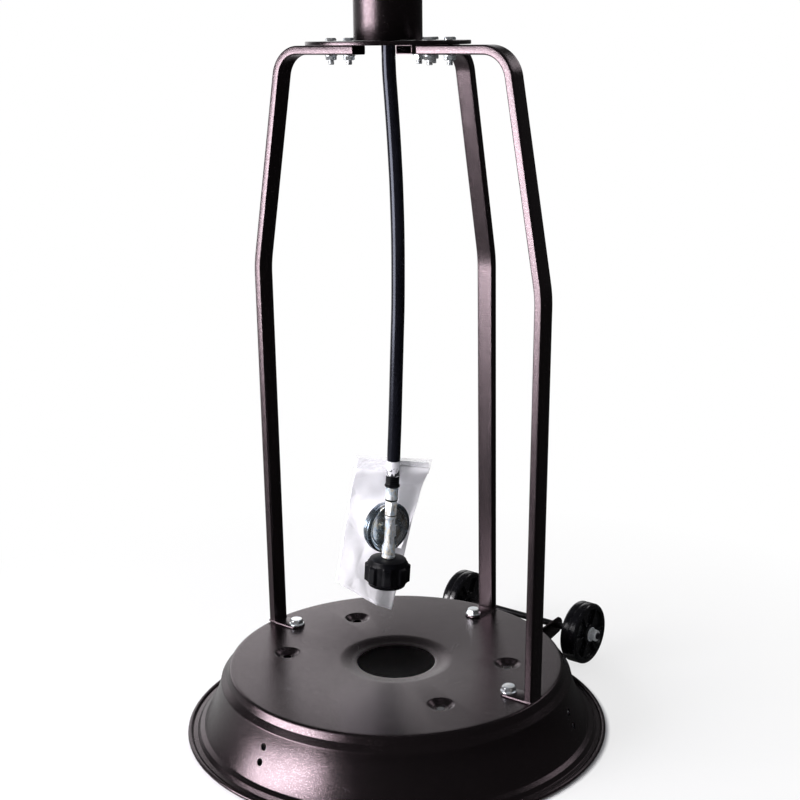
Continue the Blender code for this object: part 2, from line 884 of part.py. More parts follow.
def build_wheel(name, sign):
    """Make one wheel: a rounded tread, dished faces with ribs, and a bored hub."""
    half = wheel_width / 2
    rim_inner = wheel_radius - wheel_rim_wall
    floor = half - wheel_dish_depth
    tread_centre = wheel_radius - wheel_edge_round
    upper = [
        (axle_radius + seat_gap, half),
        (wheel_hub_radius, half),
        (wheel_hub_radius, floor),
        (rim_inner, floor),
        (rim_inner, half),
        *arc((tread_centre, half - wheel_edge_round), wheel_edge_round, math.pi / 2, 0, arc_steps),
    ]
    lower = [(radius, -height) for radius, height in reversed(upper)]
    wheel = turned(upper + lower, head_steps, closed=True)
    rib_length = rim_inner - wheel_hub_radius + 2 * weld_bite
    rib_height = wheel_width - 2 * wheel_rib_set_back
    for index in range(wheel_rib_count):
        azimuth = math.tau * index / wheel_rib_count
        middle = polar((rim_inner + wheel_hub_radius) / 2, azimuth)
        join(wheel, box((rib_length, wheel_rib_width, rib_height), middle, (0, 0, azimuth)))
    placed(wheel, axle_place(sign * wheel_track / 2), axle_turn)
    finished(wheel, name, "wheel_plastic")


def axle_nut_seat():
    """Return the distance from the axle's middle to the inner face of its nuts."""
    return wheel_track / 2 + wheel_width / 2 + seat_gap


def build_axle():
    """Make the axle rod and its two flanged nuts."""
    half_length = axle_nut_seat() + axle_nut_washer_sheet + axle_nut_height + thread_end / 2
    rod = prism(axle_radius, 2 * half_length, tiny_steps, axle_place(-half_length), axle_turn)
    finished(rod, "wheel_axle", "black_steel")
    for name, sign in (("axle_nut_left", 1), ("axle_nut_right", -1)):
        body_foot = axle_nut_washer_sheet - weld_bite
        body = hexagon(axle_nut_flats, axle_nut_height + weld_bite, (0, 0, body_foot))
        join(body, prism(axle_nut_washer_radius, axle_nut_washer_sheet, small_steps))
        reach = axle_nut_washer_sheet + axle_nut_height + 2 * cut_overrun
        cut(body, prism(axle_radius + seat_gap, reach, tiny_steps, (0, 0, -cut_overrun)))
        tilt = axle_turn if sign > 0 else (math.pi / 2, 0, rear_azimuth)
        placed(body, axle_place(sign * axle_nut_seat()), tilt)
        finished(body, name, "zinc")


def bracket_screw_holes():
    """Return cutters for the bracket's screws, through the bracket and the dish."""
    return [
        flank_pin(bracket_screw_radius + seat_gap, azimuth, bracket_screw_height, bracket_screw_length)
        for azimuth in bracket_screw_azimuths()
    ]


def build_bracket():
    """Make the wheel bracket: a band that fits the flank, with an ear for each end of the axle."""
    half_angle = bracket_half_angle()
    bends = [height for _, height in flank_points() if bracket_low_height < height < bracket_high_height]
    heights = [bracket_low_height, *reversed(bends), bracket_high_height]
    profile = [(flank_radius(height) + bracket_gap, height) for height in heights]
    web = turned(profile, bracket_steps, sheet=bracket_sheet, angle=2 * half_angle)
    placed(web, (0, 0, 0), (0, 0, rear_azimuth - half_angle))
    ear_offset = bracket_half_width - bracket_sheet
    web_middle = bracket_gap + bracket_sheet / 2
    inner = [(math.sqrt((radius + web_middle) ** 2 - ear_offset**2), height) for radius, height in profile]
    lug_centre = (axle_reach, axle_height)
    lug = arc(lug_centre, bracket_lug_radius, math.radians(95), math.radians(-80), 2 * bend_steps)
    hole_length = bracket_sheet + 2 * cut_overrun
    ears = []
    for sign in (-1, 1):
        ear = outline(inner + lug, bracket_sheet)
        hole_place = (axle_reach, axle_height, -hole_length / 2)
        cut(ear, prism(axle_radius + seat_gap, hole_length, tiny_steps, hole_place))
        ears.append(placed(ear, axle_way * sign * ear_offset, (math.pi / 2, 0, rear_azimuth)))
    join(web, *ears)
    cut(web, gathered(bracket_screw_holes()))
    finished(web, "wheel_bracket", "powder_coat")


def build_bracket_screws():
    """Make the two screws that hold the wheel bracket to the flank."""
    master = bolt(bracket_screw_radius, bracket_screw_flats, bracket_screw_head, bracket_screw_length)
    finished(master, "bracket_screw_master", "zinc")
    seat = bracket_gap + bracket_sheet + seat_gap
    for name, azimuth in zip(("bracket_screw_left", "bracket_screw_right"), bracket_screw_azimuths()):
        place, way, turn = flank_way(azimuth, bracket_screw_height)
        copy_of(master, name, place + way * seat, turn)
    bpy.data.objects.remove(master)


def build_hose():
    """Make the hose: a held stretch inside the post and a free stretch below the flange."""
    valve_inlet = Vector((0, 0, valve_height_mid - valve_height / 2))
    held_end = Vector((0, 0, valve_inlet.z - seat_gap))
    held = [Vector((0, 0, flange_bottom)), held_end]
    finished(round_tube(held, hose_radius, held_hose_bevel_resolution), "hose_in_post", "black_rubber")
    free = smooth_line(hose_route, hose_point_spacing)
    finished(round_tube(free, hose_radius, hose_bevel_resolution), "gas_hose", "black_rubber")


def drop_place(along, sideways=0.0, back=0.0):
    """Return a point on the regulator's hanging line, at a distance below the hose's end."""
    end = Vector(hose_route[-1])
    down = Vector((-math.sin(drop_tilt), 0, -math.cos(drop_tilt)))
    right = Vector((math.cos(drop_tilt), 0, -math.sin(drop_tilt)))
    return end + down * along + right * sideways + Vector((0, back, 0))


# Distances of each piece's top below the hose's end
sleeve_drop = seat_gap
ferrule_drop = sleeve_drop + sleeve_length + seat_gap
fitting_drop = ferrule_drop + ferrule_length + seat_gap
swivel_drop = fitting_drop + fitting_length
stem_drop = swivel_drop + swivel_length + seat_gap
collar_drop = stem_drop + stem_length - collar_length / 2
spindle_drop = collar_drop + collar_length
handwheel_drop = spindle_drop + seat_gap
drop_turn = (0, drop_tilt, 0)


def hung(piece, along):
    """Place a piece with its top at a distance along the hanging line."""
    return placed(piece, drop_place(along), drop_turn)


def build_hose_end():
    """Make the white sleeve, the crimped ferrule and the steel fitting."""
    sleeve_profile = [(0, 0), (sleeve_radius, 0), (sleeve_radius, -sleeve_length), (0, -sleeve_length)]
    sleeve = turned(sleeve_profile, small_steps)
    finished(hung(sleeve, sleeve_drop), "hose_sleeve", "white_sleeve")
    flare_top = -ferrule_length + ferrule_flare_length
    ferrule = turned(
        [
            (0, 0),
            (ferrule_radius, 0),
            (ferrule_radius, flare_top + ferrule_flare_length / 2),
            (ferrule_flare_radius, flare_top),
            (ferrule_flare_radius, flare_top - ferrule_flare_length / 2),
            (ferrule_radius, -ferrule_length),
            (0, -ferrule_length),
        ],
        small_steps,
    )
    finished(hung(ferrule, ferrule_drop), "hose_ferrule", "black_plastic")
    barrel_end = -fitting_length + fitting_neck_length
    fitting = turned(
        [
            (0, 0), (fitting_neck_radius, 0), (fitting_neck_radius, -fitting_neck_length),
            (fitting_radius, -fitting_neck_length), (fitting_radius, barrel_end),
            (fitting_neck_radius, barrel_end), (fitting_neck_radius, -fitting_length - weld_bite),
            (0, -fitting_length - weld_bite),
        ],
        small_steps,
    )
    join(fitting, hexagon(swivel_flats, swivel_length, (0, 0, -fitting_length - swivel_length)))
    finished(hung(fitting, fitting_drop), "hose_fitting", "zinc")


def build_regulator():
    """Make the regulator: body casting with its ports, rear cover, spindle nipple and handwheel."""
    case_way = (math.pi / 2, 0, case_yaw)
    bottom = -stem_length - collar_length / 2
    collar_top = bottom + collar_length
    spindle_end = bottom - handwheel_collar_length
    body = turned(
        [
            (0, 0), (stem_radius, 0), (stem_radius, collar_top), (collar_radius, collar_top),
            (collar_radius, bottom), (spindle_radius, bottom), (spindle_radius, spindle_end - weld_bite),
            (0, spindle_end - weld_bite),
        ],
        small_steps,
    )
    flange_seat = spindle_end - spindle_flange_sheet
    join(body, prism(spindle_flange_radius, spindle_flange_sheet, small_steps, (0, 0, flange_seat)))
    nipple = turned(
        [
            (0, weld_bite), (nipple_radius, weld_bite), (nipple_radius, -nipple_length / 2),
            (nipple_radius / 2, -nipple_length), (0, -nipple_length),
        ],
        small_steps,
    )
    join(body, placed(nipple, (0, 0, flange_seat)))
    ring_radius = case_radius - case_rim
    dish_radius = ring_radius - 2 * case_step
    case = turned(
        [
            (0, -case_dish_depth), (dish_radius, -case_dish_depth), (dish_radius + case_step, -case_step),
            (ring_radius, -case_step), (ring_radius, 0), (case_radius - case_step, 0),
            (case_radius, -case_step), (case_radius, -case_depth), (0, -case_depth),
        ],
        head_steps,
    )
    boss_length = case_depth / 2 + case_set_back * math.cos(case_yaw)
    join(case, prism(case_boss_radius, boss_length, small_steps, (0, 0, -case_depth / 2)))
    join(body, placed(case, (0, case_set_back, -case_centre_drop), case_way))
    finished(hung(body, stem_drop), "regulator_body", "zinc")


def build_cover():
    """Make the regulator's domed rear cover with its vent."""
    cover = turned(
        [
            (0, cover_depth), (cover_crown_radius, cover_depth), (cover_radius - case_step, case_step * 2),
            (cover_radius, case_step), (cover_radius, 0), (0, 0),
        ],
        head_steps,
    )
    vent_seat = (0, cover_crown_radius / 2, cover_depth - weld_bite)
    join(cover, prism(vent_radius, vent_length + weld_bite, small_steps, vent_seat))
    lean = Euler(drop_turn).to_matrix() @ Euler((math.pi / 2, 0, case_yaw)).to_matrix()
    front_centre = drop_place(stem_drop + case_centre_drop, 0, case_set_back)
    back_centre = front_centre - lean @ Vector((0, 0, case_depth + seat_gap))
    turn = (lean @ Euler((math.pi, 0, 0)).to_matrix()).to_euler()
    finished(placed(cover, back_centre, turn), "regulator_cover", "zinc")


def lobed_ring(radius, count, depth_share, points_per_lobe=4):
    """Return the outline of a knob with rounded lobes."""
    total = count * points_per_lobe
    points = []
    for index in range(total):
        azimuth = math.tau * index / total
        reach = radius * (1 - depth_share / 2 + depth_share / 2 * math.cos(count * azimuth))
        points.append((reach * math.cos(azimuth), reach * math.sin(azimuth)))
    return points


def build_handwheel():
    """Make the black handwheel that turns on the regulator's spindle."""
    lobe_top = -(handwheel_length - handwheel_lobe_length) / 2
    lobes = lobed_ring(handwheel_radius, handwheel_lobes, handwheel_lobe_depth_share)
    grip = outline(lobes, handwheel_lobe_length, head_chamfer)
    placed(grip, (0, 0, lobe_top - handwheel_lobe_length / 2))
    neck_step = handwheel_length - handwheel_lobe_length
    waist_radius = handwheel_neck_radius + neck_step / 6
    core = turned(
        [
            (0, 0),
            (handwheel_neck_radius - head_chamfer, 0),
            (handwheel_neck_radius, -head_chamfer),
            (waist_radius, -neck_step / 2),
            (waist_radius, -handwheel_length + neck_step / 2),
            (handwheel_neck_radius, -handwheel_length),
            (0, -handwheel_length),
        ],
        small_steps,
    )
    join(grip, core)
    pocket_radius = spindle_flange_radius + 2 * seat_gap
    pocket_top = -handwheel_collar_length + seat_gap
    bore = turned(
        [
            (0, cut_overrun),
            (spindle_radius + seat_gap, cut_overrun),
            (spindle_radius + seat_gap, pocket_top),
            (pocket_radius, pocket_top),
            (handwheel_mouth_radius, -handwheel_length + neck_step / 2),
            (handwheel_mouth_radius, -handwheel_length - cut_overrun),
            (0, -handwheel_length - cut_overrun),
        ],
        small_steps,
    )
    cut(grip, bore)
    finished(hung(grip, handwheel_drop), "regulator_handwheel", "black_plastic")


def build_leaflet():
    """Make the blank leaflet: a thin sheet that bends over the regulator's back."""
    corners = [(leaflet_width * across, leaflet_drop * up) for across, up in leaflet_corner_shares]
    front = [(0, max(height for _, height in corners) + cut_overrun)]
    for index in range(leaflet_bend_steps + 1):
        share = index / leaflet_bend_steps
        reach = leaflet_bulge * math.sin(share * math.pi / 2)
        front.append((reach, -sleeve_length - leaflet_bend_length * share))
    front.append((leaflet_bulge, -leaflet_drop - cut_overrun))
    back = [(reach + leaflet_sheet, height) for reach, height in front]
    sheet = outline(front + back[::-1], 3 * leaflet_drop)
    placed(sheet, (0, 0, 0), (math.pi / 2, 0, math.pi / 2))
    face = placed(outline(corners, 3 * leaflet_drop), (0, 0, 0), (math.pi / 2, 0, 0))
    combine(sheet, [face], "INTERSECT")
    hose_end = Vector(hose_route[-1])
    placed(sheet, hose_end + Vector((0, sleeve_radius + seat_gap, 0)))
    finished(sheet, "instruction_leaflet", "paper")


def build_bowl():
    """Make the control bowl: a collar on the post, a cone and a slotted wall."""
    collar_radius_outer = post_radius + seat_gap + bowl_sheet
    round_centre = (bowl_radius - bowl_base_round, bowl_cone_top + bowl_base_round)
    profile = [
        (bowl_radius, bowl_top),
        (bowl_radius, bowl_cone_top + bowl_base_round),
        *arc(round_centre, bowl_base_round, 0, -math.radians(50), 3)[1:],
        (collar_radius_outer, post_top + seat_gap),
        (collar_radius_outer, bowl_foot),
    ]
    bowl = turned(profile, head_steps, sheet=bowl_sheet)
    slot_size = (6 * bowl_sheet, bowl_slot_width, bowl_slot_height)
    slot_mid = bowl_top - bowl_slot_drop - bowl_slot_height / 2
    slots = []
    for index in range(bowl_slot_count):
        azimuth = math.tau * (index + 0.5) / bowl_slot_count
        middle = polar(bowl_radius, azimuth, slot_mid)
        slots.append(box(slot_size, middle, (0, 0, azimuth)))
    shaft_hole = valve_shaft_radius + seat_gap
    barrel_hole = igniter_barrel_radius + seat_gap
    slots.append(radial_pin(shaft_hole, front_azimuth, valve_height_mid, bowl_radius, 6 * bowl_sheet))
    slots.append(radial_pin(barrel_hole, igniter_azimuth, valve_height_mid, bowl_radius, 12 * bowl_sheet))
    cut(bowl, gathered(slots))
    finished(bowl, "control_bowl", "powder_coat")


def front_bar(radius, start, end):
    """Return a level bar at the valve's height, between two distances in front of the post's axis."""
    return radial_pin(radius, front_azimuth, valve_height_mid, (start + end) / 2, end - start)


def build_valve():
    """Make the gas valve with its nozzle and nose, and the spindle that slides in the nose."""
    body = box((valve_width, valve_set_back * 2, valve_height), (0, 0, valve_height_mid))
    nozzle_foot = valve_height_mid + valve_height / 2 - weld_bite
    join(body, prism(valve_nozzle_radius, valve_nozzle_length + weld_bite, tiny_steps, (0, 0, nozzle_foot)))
    nose_end = bowl_radius - bowl_sheet - valve_nose_gap
    join(body, front_bar(valve_nose_radius, valve_set_back - weld_bite, nose_end))
    spindle_start = nose_end - spindle_engagement
    bore_start = spindle_start - knob_travel - 2 * seat_gap
    cut(body, front_bar(valve_shaft_radius + seat_gap, bore_start, nose_end + cut_overrun))
    finished(body, "gas_valve", "brass")
    spindle_end = bowl_radius + knob_wall_clearance + knob_bore_depth
    spindle = prism(valve_shaft_radius, spindle_end - spindle_start, small_steps)
    placed(spindle, polar(spindle_start, front_azimuth, valve_height_mid), (0, math.pi / 2, front_azimuth))
    finished(spindle, "valve_spindle", "brass")


def build_knob():
    """Make the control knob on the valve's shaft, with its grip bar."""
    skirt = prism(knob_skirt_radius, knob_skirt_length, head_steps)
    body_foot = knob_skirt_length - weld_bite
    join(skirt, prism(knob_radius, knob_length - body_foot, head_steps, (0, 0, body_foot)))
    grip_size = (knob_grip_width, 2 * knob_radius - knob_grip_width, knob_grip_height + weld_bite)
    join(skirt, box(grip_size, (0, 0, knob_length + knob_grip_height - grip_size[2] / 2)))
    bore_length = knob_bore_depth + seat_gap + cut_overrun
    cut(skirt, prism(valve_shaft_radius + seat_gap, bore_length, tiny_steps, (0, 0, -cut_overrun)))
    seat = polar(bowl_radius + knob_wall_clearance, front_azimuth, valve_height_mid)
    placed(skirt, seat, (0, math.pi / 2, front_azimuth))
    finished(skirt, "control_knob", "black_plastic")


def build_igniter():
    """Make the igniter housing in the bowl's wall and its push button."""
    turn = (0, math.pi / 2, igniter_azimuth)
    bore_radius = button_radius + seat_gap
    barrel_foot = -igniter_barrel_length
    bore_floor = igniter_bezel_length - igniter_bore_depth
    housing = turned(
        [
            (0, bore_floor), (bore_radius, bore_floor), (bore_radius, igniter_bezel_length),
            (igniter_bezel_radius, igniter_bezel_length), (igniter_bezel_radius, 0),
            (igniter_barrel_radius, 0), (igniter_barrel_radius, barrel_foot), (0, barrel_foot),
        ],
        small_steps,
    )
    seat = bowl_radius + seat_gap
    placed(housing, polar(seat, igniter_azimuth, valve_height_mid), turn)
    finished(housing, "igniter_housing", "black_plastic")
    button = prism(button_radius, button_length, small_steps)
    edge = button.modifiers.new("edge", "BEVEL")
    edge.width = head_chamfer
    edge.segments = 2
    edge.limit_method = "ANGLE"
    edge.angle_limit = math.radians(60)
    bake(button)
    reach = seat + igniter_bezel_length + button_proud - button_length
    placed(button, polar(reach, igniter_azimuth, valve_height_mid), turn)
    finished(button, "igniter_button", "red_plastic")


def build_burner():
    """Make the deck, the mixing tube, the burner head and the pilot."""
    deck = ring(deck_hole_radius, deck_radius, deck_bottom, deck_top, head_steps)
    pilot_place = polar(pilot_offset, front_azimuth, deck_bottom - cut_overrun)
    cut(deck, prism(pilot_radius + seat_gap, deck_sheet + 2 * cut_overrun, tiny_steps, pilot_place))
    finished(deck, "burner_deck", "stainless")
    flange_seat = deck_top + seat_gap
    flange_face = flange_seat + burner_flange_sheet
    tube_inner = burner_tube_radius - burner_tube_wall
    tube = turned(
        [
            (burner_flange_radius, flange_face),
            (burner_flange_radius, flange_seat),
            (burner_tube_radius, flange_seat),
            (burner_tube_radius, flange_seat - burner_tube_length),
            (tube_inner, flange_seat - burner_tube_length),
            (tube_inner, flange_face),
        ],
        small_steps,
        closed=True,
    )
    finished(tube, "burner_tube", "stainless")
    head_foot = flange_face + seat_gap
    head_top = head_foot + burner_head_height
    head = turned(
        [
            (0, head_top),
            (burner_head_radius, head_top),
            (burner_head_radius, head_foot),
            (burner_tube_radius, head_foot),
        ],
        head_steps,
        sheet=burner_head_sheet,
    )
    slot_size = (6 * burner_head_sheet, burner_slot_width, burner_slot_height)
    slots = []
    for index in range(burner_slot_count):
        azimuth = math.tau * index / burner_slot_count
        middle = polar(burner_head_radius, azimuth, (head_foot + head_top) / 2)
        slots.append(box(slot_size, middle, (0, 0, azimuth)))
    cut(head, gathered(slots))
    finished(head, "burner_head", "stainless")
    pilot_foot = polar(pilot_offset, front_azimuth, deck_bottom - pilot_drop)
    pilot_tip = pilot_foot + Vector((0, 0, pilot_drop + deck_sheet + pilot_rise))
    pilot = round_tube([pilot_foot, pilot_tip], pilot_radius, held_hose_bevel_resolution)
    finished(pilot, "pilot_tube", "stainless")


def build_screen():
    """Make the emitter screen with its rows of slots."""
    profile = [(screen_top_radius, screen_top), (screen_radius, screen_bottom)]
    screen = turned(profile, head_steps, sheet=screen_sheet)
    pitch = (screen_height - 2 * screen_foot_margin) / screen_slot_rows
    slot_size = (8 * screen_sheet, screen_slot_width, screen_slot_height)
    slots = []
    for row in range(screen_slot_rows):
        rise = screen_foot_margin + pitch * (row + 0.5)
        radius = screen_radius - screen_taper * rise / screen_height
        for column in range(screen_slot_columns):
            azimuth = math.tau * (column + 0.5 * (row % 2)) / screen_slot_columns
            middle = polar(radius, azimuth, screen_bottom + rise)
            slots.append(box(slot_size, middle, (0, 0, azimuth)))
    cut(screen, gathered(slots))
    finished(screen, "emitter_screen", "stainless")


def build_cap():
    """Make the cap that closes the top of the emitter screen and carries the spacers."""
    cap_face = screen_top + seat_gap + cap_sheet
    cap = turned(
        [
            (0, cap_top),
            (spacer_circle_radius + 2 * spacer_radius, cap_top),
            (screen_top_radius - screen_sheet - cap_sheet, cap_face),
            (cap_radius - cap_sheet, cap_face),
            (cap_radius, cap_face - cap_sheet),
            (cap_radius, cap_face - cap_skirt),
        ],
        head_steps,
        sheet=cap_sheet,
    )
    cut(cap, spigot_holes(cap_top - cap_sheet, cap_sheet))
    finished(cap, "emitter_cap", "stainless")


def spacer_azimuths():
    """Return the directions of the three reflector spacers."""
    return [front_azimuth + math.tau * index / 3 for index in range(3)]


def spigot_holes(foot, sheet):
    """Return cutters for the spacers' spigots, through a sheet with its lower face at a height."""
    length = sheet + 2 * cut_overrun
    holes = []
    for azimuth in spacer_azimuths():
        place = polar(spacer_circle_radius, azimuth, foot - cut_overrun)
        holes.append(prism(spacer_spigot_radius + seat_gap, length, tiny_steps, place))
    return gathered(holes)


def build_reflector():
    """Make the reflector: a flat crown, a bowed slope and a turned-down lip."""
    slope_drop = reflector_drop - reflector_lip
    span = reflector_radius - reflector_lip_reach - reflector_crown_radius
    profile = [(0, reflector_top), (reflector_crown_radius, reflector_top)]
    for index in range(1, bow_steps + 1):
        share = index / bow_steps
        bow = 4 * reflector_bow * share * (1 - share)
        profile.append((reflector_crown_radius + span * share, reflector_top - slope_drop * share + bow))
    profile.append((reflector_radius, reflector_top - reflector_drop))
    reflector = turned(profile, reflector_steps, sheet=reflector_sheet)
    cut(reflector, spigot_holes(reflector_seat, reflector_sheet))
    finished(reflector, "reflector", "aluminium")


def build_spacers():
    """Make the three spacers with a threaded spigot at each end, and the wing nuts on them."""
    spigot_top = spacer_length + reflector_sheet + 2 * seat_gap + wing_height
    spigot_foot = -cap_sheet - thread_end
    spacer = turned(
        [
            (0, spigot_top),
            (spacer_spigot_radius, spigot_top),
            (spacer_spigot_radius, spacer_length),
            (spacer_radius, spacer_length),
            (spacer_radius, 0),
            (spacer_spigot_radius, 0),
            (spacer_spigot_radius, spigot_foot),
            (0, spigot_foot),
        ],
        tiny_steps,
    )
    finished(spacer, "spacer_master", "stainless")
    wing = prism(wing_radius, wing_height, small_steps)
    blade_size = (wing_span, wing_sheet, wing_height - weld_bite)
    join(wing, box(blade_size, (0, 0, (wing_height + weld_bite) / 2)))
    bore_length = wing_height + 2 * cut_overrun
    cut(wing, prism(spacer_spigot_radius + seat_gap, bore_length, tiny_steps, (0, 0, -cut_overrun)))
    finished(wing, "wing_master", "zinc")
    for index, azimuth in enumerate(spacer_azimuths(), start=1):
        foot = polar(spacer_circle_radius, azimuth, spacer_bottom)
        top = polar(spacer_circle_radius, azimuth, reflector_top + seat_gap)
        copy_of(spacer, f"reflector_spacer_{index}", foot, (0, 0, azimuth))
        copy_of(wing, f"reflector_wing_nut_{index}", top, (0, 0, azimuth))
    bpy.data.objects.remove(spacer)
    bpy.data.objects.remove(wing)


def main():
    """Build the whole heater, from the floor up."""
    start_scene()
    build_base()
    for side in leg_splays:
        build_leg(side)
    build_foot_fasteners()
    build_flange()
    build_flange_fasteners()
    build_post()
    build_wheel("wheel_left", 1)
    build_wheel("wheel_right", -1)
    build_axle()
    build_bracket()
    build_bracket_screws()
    build_hose()
    build_hose_end()
    build_regulator()
    build_cover()
    build_handwheel()
    build_leaflet()
    build_bowl()
    build_valve()
    build_knob()
    build_igniter()
    build_burner()
    build_screen()
    build_cap()
    build_reflector()
    build_spacers()
    bpy.context.view_layer.update()


main()
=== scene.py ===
"""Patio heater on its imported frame: finer pieces, finishes, studio and camera.

Metres, +Z up. The base stands on the floor round the origin, and the front looks along -Y.
"""
from __future__ import annotations

import logging
from collections.abc import Callable, Sequence
from dataclasses import dataclass
from enum import Enum
from functools import lru_cache
from math import asin, atan2, ceil, cos, pi, radians, sin, sqrt, tan, tau

import bmesh
import bpy
from mathutils import Matrix, Vector, noise


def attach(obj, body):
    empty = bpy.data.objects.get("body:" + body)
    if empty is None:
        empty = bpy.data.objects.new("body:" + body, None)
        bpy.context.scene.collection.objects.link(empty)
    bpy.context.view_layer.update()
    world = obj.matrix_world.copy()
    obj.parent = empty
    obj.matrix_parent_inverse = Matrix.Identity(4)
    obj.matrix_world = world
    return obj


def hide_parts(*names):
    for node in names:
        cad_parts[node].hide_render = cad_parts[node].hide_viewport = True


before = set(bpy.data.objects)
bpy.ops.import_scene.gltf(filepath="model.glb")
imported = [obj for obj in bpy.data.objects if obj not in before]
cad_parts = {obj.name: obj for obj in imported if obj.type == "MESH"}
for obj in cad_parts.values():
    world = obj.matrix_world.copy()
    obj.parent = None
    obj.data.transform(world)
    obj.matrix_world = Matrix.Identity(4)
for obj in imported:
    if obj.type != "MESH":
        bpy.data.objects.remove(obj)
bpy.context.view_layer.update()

log = logging.getLogger("patio_heater")

Colour = tuple[float, float, float]
Point = tuple[float, float, float]
Flat = tuple[float, float]
Profile = list[Flat]
Radius = Callable[[float, float], float]
Piece = bpy.types.Object

# The gap at a seat, the azimuths of the rear leg and of the front, and the turn from one leg to the next
SEAT_GAP = 0.0003
REAR = radians(51.6)
FRONT = radians(-90)
LEG_TURN = radians(89.5)

# The hose's lower end, the placement that moves nothing, and the angle from which an edge is bevelled
HOSE_END: Point = (0.0001, 0.0, 0.2985)
IDENTITY = Matrix.Identity(4)
SHARP = radians(40)


class Body(Enum):
    """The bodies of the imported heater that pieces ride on."""

    STAND = "stand"
    LEFT_WHEEL = "left_wheel"
    RIGHT_WHEEL = "right_wheel"
    HANDWHEEL = "handwheel"
    KNOB = "knob"
    BUTTON = "button"


class Slot(Enum):
    """The record's material slots."""

    POWDER_COAT = "powder_coat"
    ZINC = "zinc"
    BLACK_PLASTIC = "black_plastic"
    WHEEL_PLASTIC = "wheel_plastic"
    BLACK_STEEL = "black_steel"
    BLACK_RUBBER = "black_rubber"
    BRASS = "brass"
    WHITE_SLEEVE = "white_sleeve"
    PAPER = "paper"
    STAINLESS = "stainless"
    ALUMINIUM = "aluminium"
    RED_PLASTIC = "red_plastic"


class Side(Enum):
    """The three legs, each with its direction from the post and the splay of its knee."""

    LEFT = ("left", REAR + LEG_TURN, 0.0)
    BACK = ("rear", REAR, -0.0084)
    RIGHT = ("right", REAR - LEG_TURN, 0.0025)

    def __init__(self, label: str, azimuth: float, splay: float) -> None:
        """Keep the leg's label, direction and splay."""
        self.label = label
        self.azimuth = azimuth
        self.splay = splay


# Shader wiring


@dataclass(frozen=True)
class Wire:
    """A node's output, whose operators add Math nodes to its tree."""

    tree: bpy.types.NodeTree
    socket: bpy.types.NodeSocket

    def maths(self, operation: str, *values: Value, clamped: bool = False) -> Wire:
        """Add a Math node.

        Args:
            operation: The node's operation.
            values: Its inputs, in order.
            clamped: Whether the result is kept from 0 to 1.

        Returns:
            The node's result.
        """
        node = self.tree.nodes.new("ShaderNodeMath")
        node.operation = operation
        node.use_clamp = clamped
        for socket, value in zip(node.inputs, values):
            plug(self.tree, socket, value)
        return Wire(self.tree, node.outputs[0])

    def __add__(self, other: Value) -> Wire:
        """Return the sum."""
        return self.maths("ADD", self, other)

    __radd__ = __add__

    def __sub__(self, other: Value) -> Wire:
        """Return the difference."""
        return self.maths("SUBTRACT", self, other)

    def __rsub__(self, other: Value) -> Wire:
        """Return the difference, the other way round."""
        return self.maths("SUBTRACT", other, self)

    def __mul__(self, other: Value) -> Wire:
        """Return the product."""
        return self.maths("MULTIPLY", self, other)

    __rmul__ = __mul__

    def over(self, level: float, softness: float) -> Wire:
        """Return a mask that is a half at a level and rises over a span, or falls over a negative one."""
        return self.maths("MULTIPLY_ADD", self, 1 / softness, 0.5 - level / softness, clamped=True)


Value = Wire | float | Sequence[float]
Values = dict[str | int, Value]


def plug(tree: bpy.types.NodeTree, socket: bpy.types.NodeSocket, value: Value) -> None:
    """Link a wire to a socket, or set the socket to a plain value.

    Args:
        tree: The node tree that holds the socket.
        socket: The input to fill.
        value: A wire, a number, or the numbers of a colour or vector.
    """
    if isinstance(value, Wire):
        tree.links.new(value.socket, socket)
    elif isinstance(value, (int, float)):
        socket.default_value = value
    else:
        numbers = list(value)
        socket.default_value = numbers + [1.0] * (len(socket.default_value) - len(numbers))


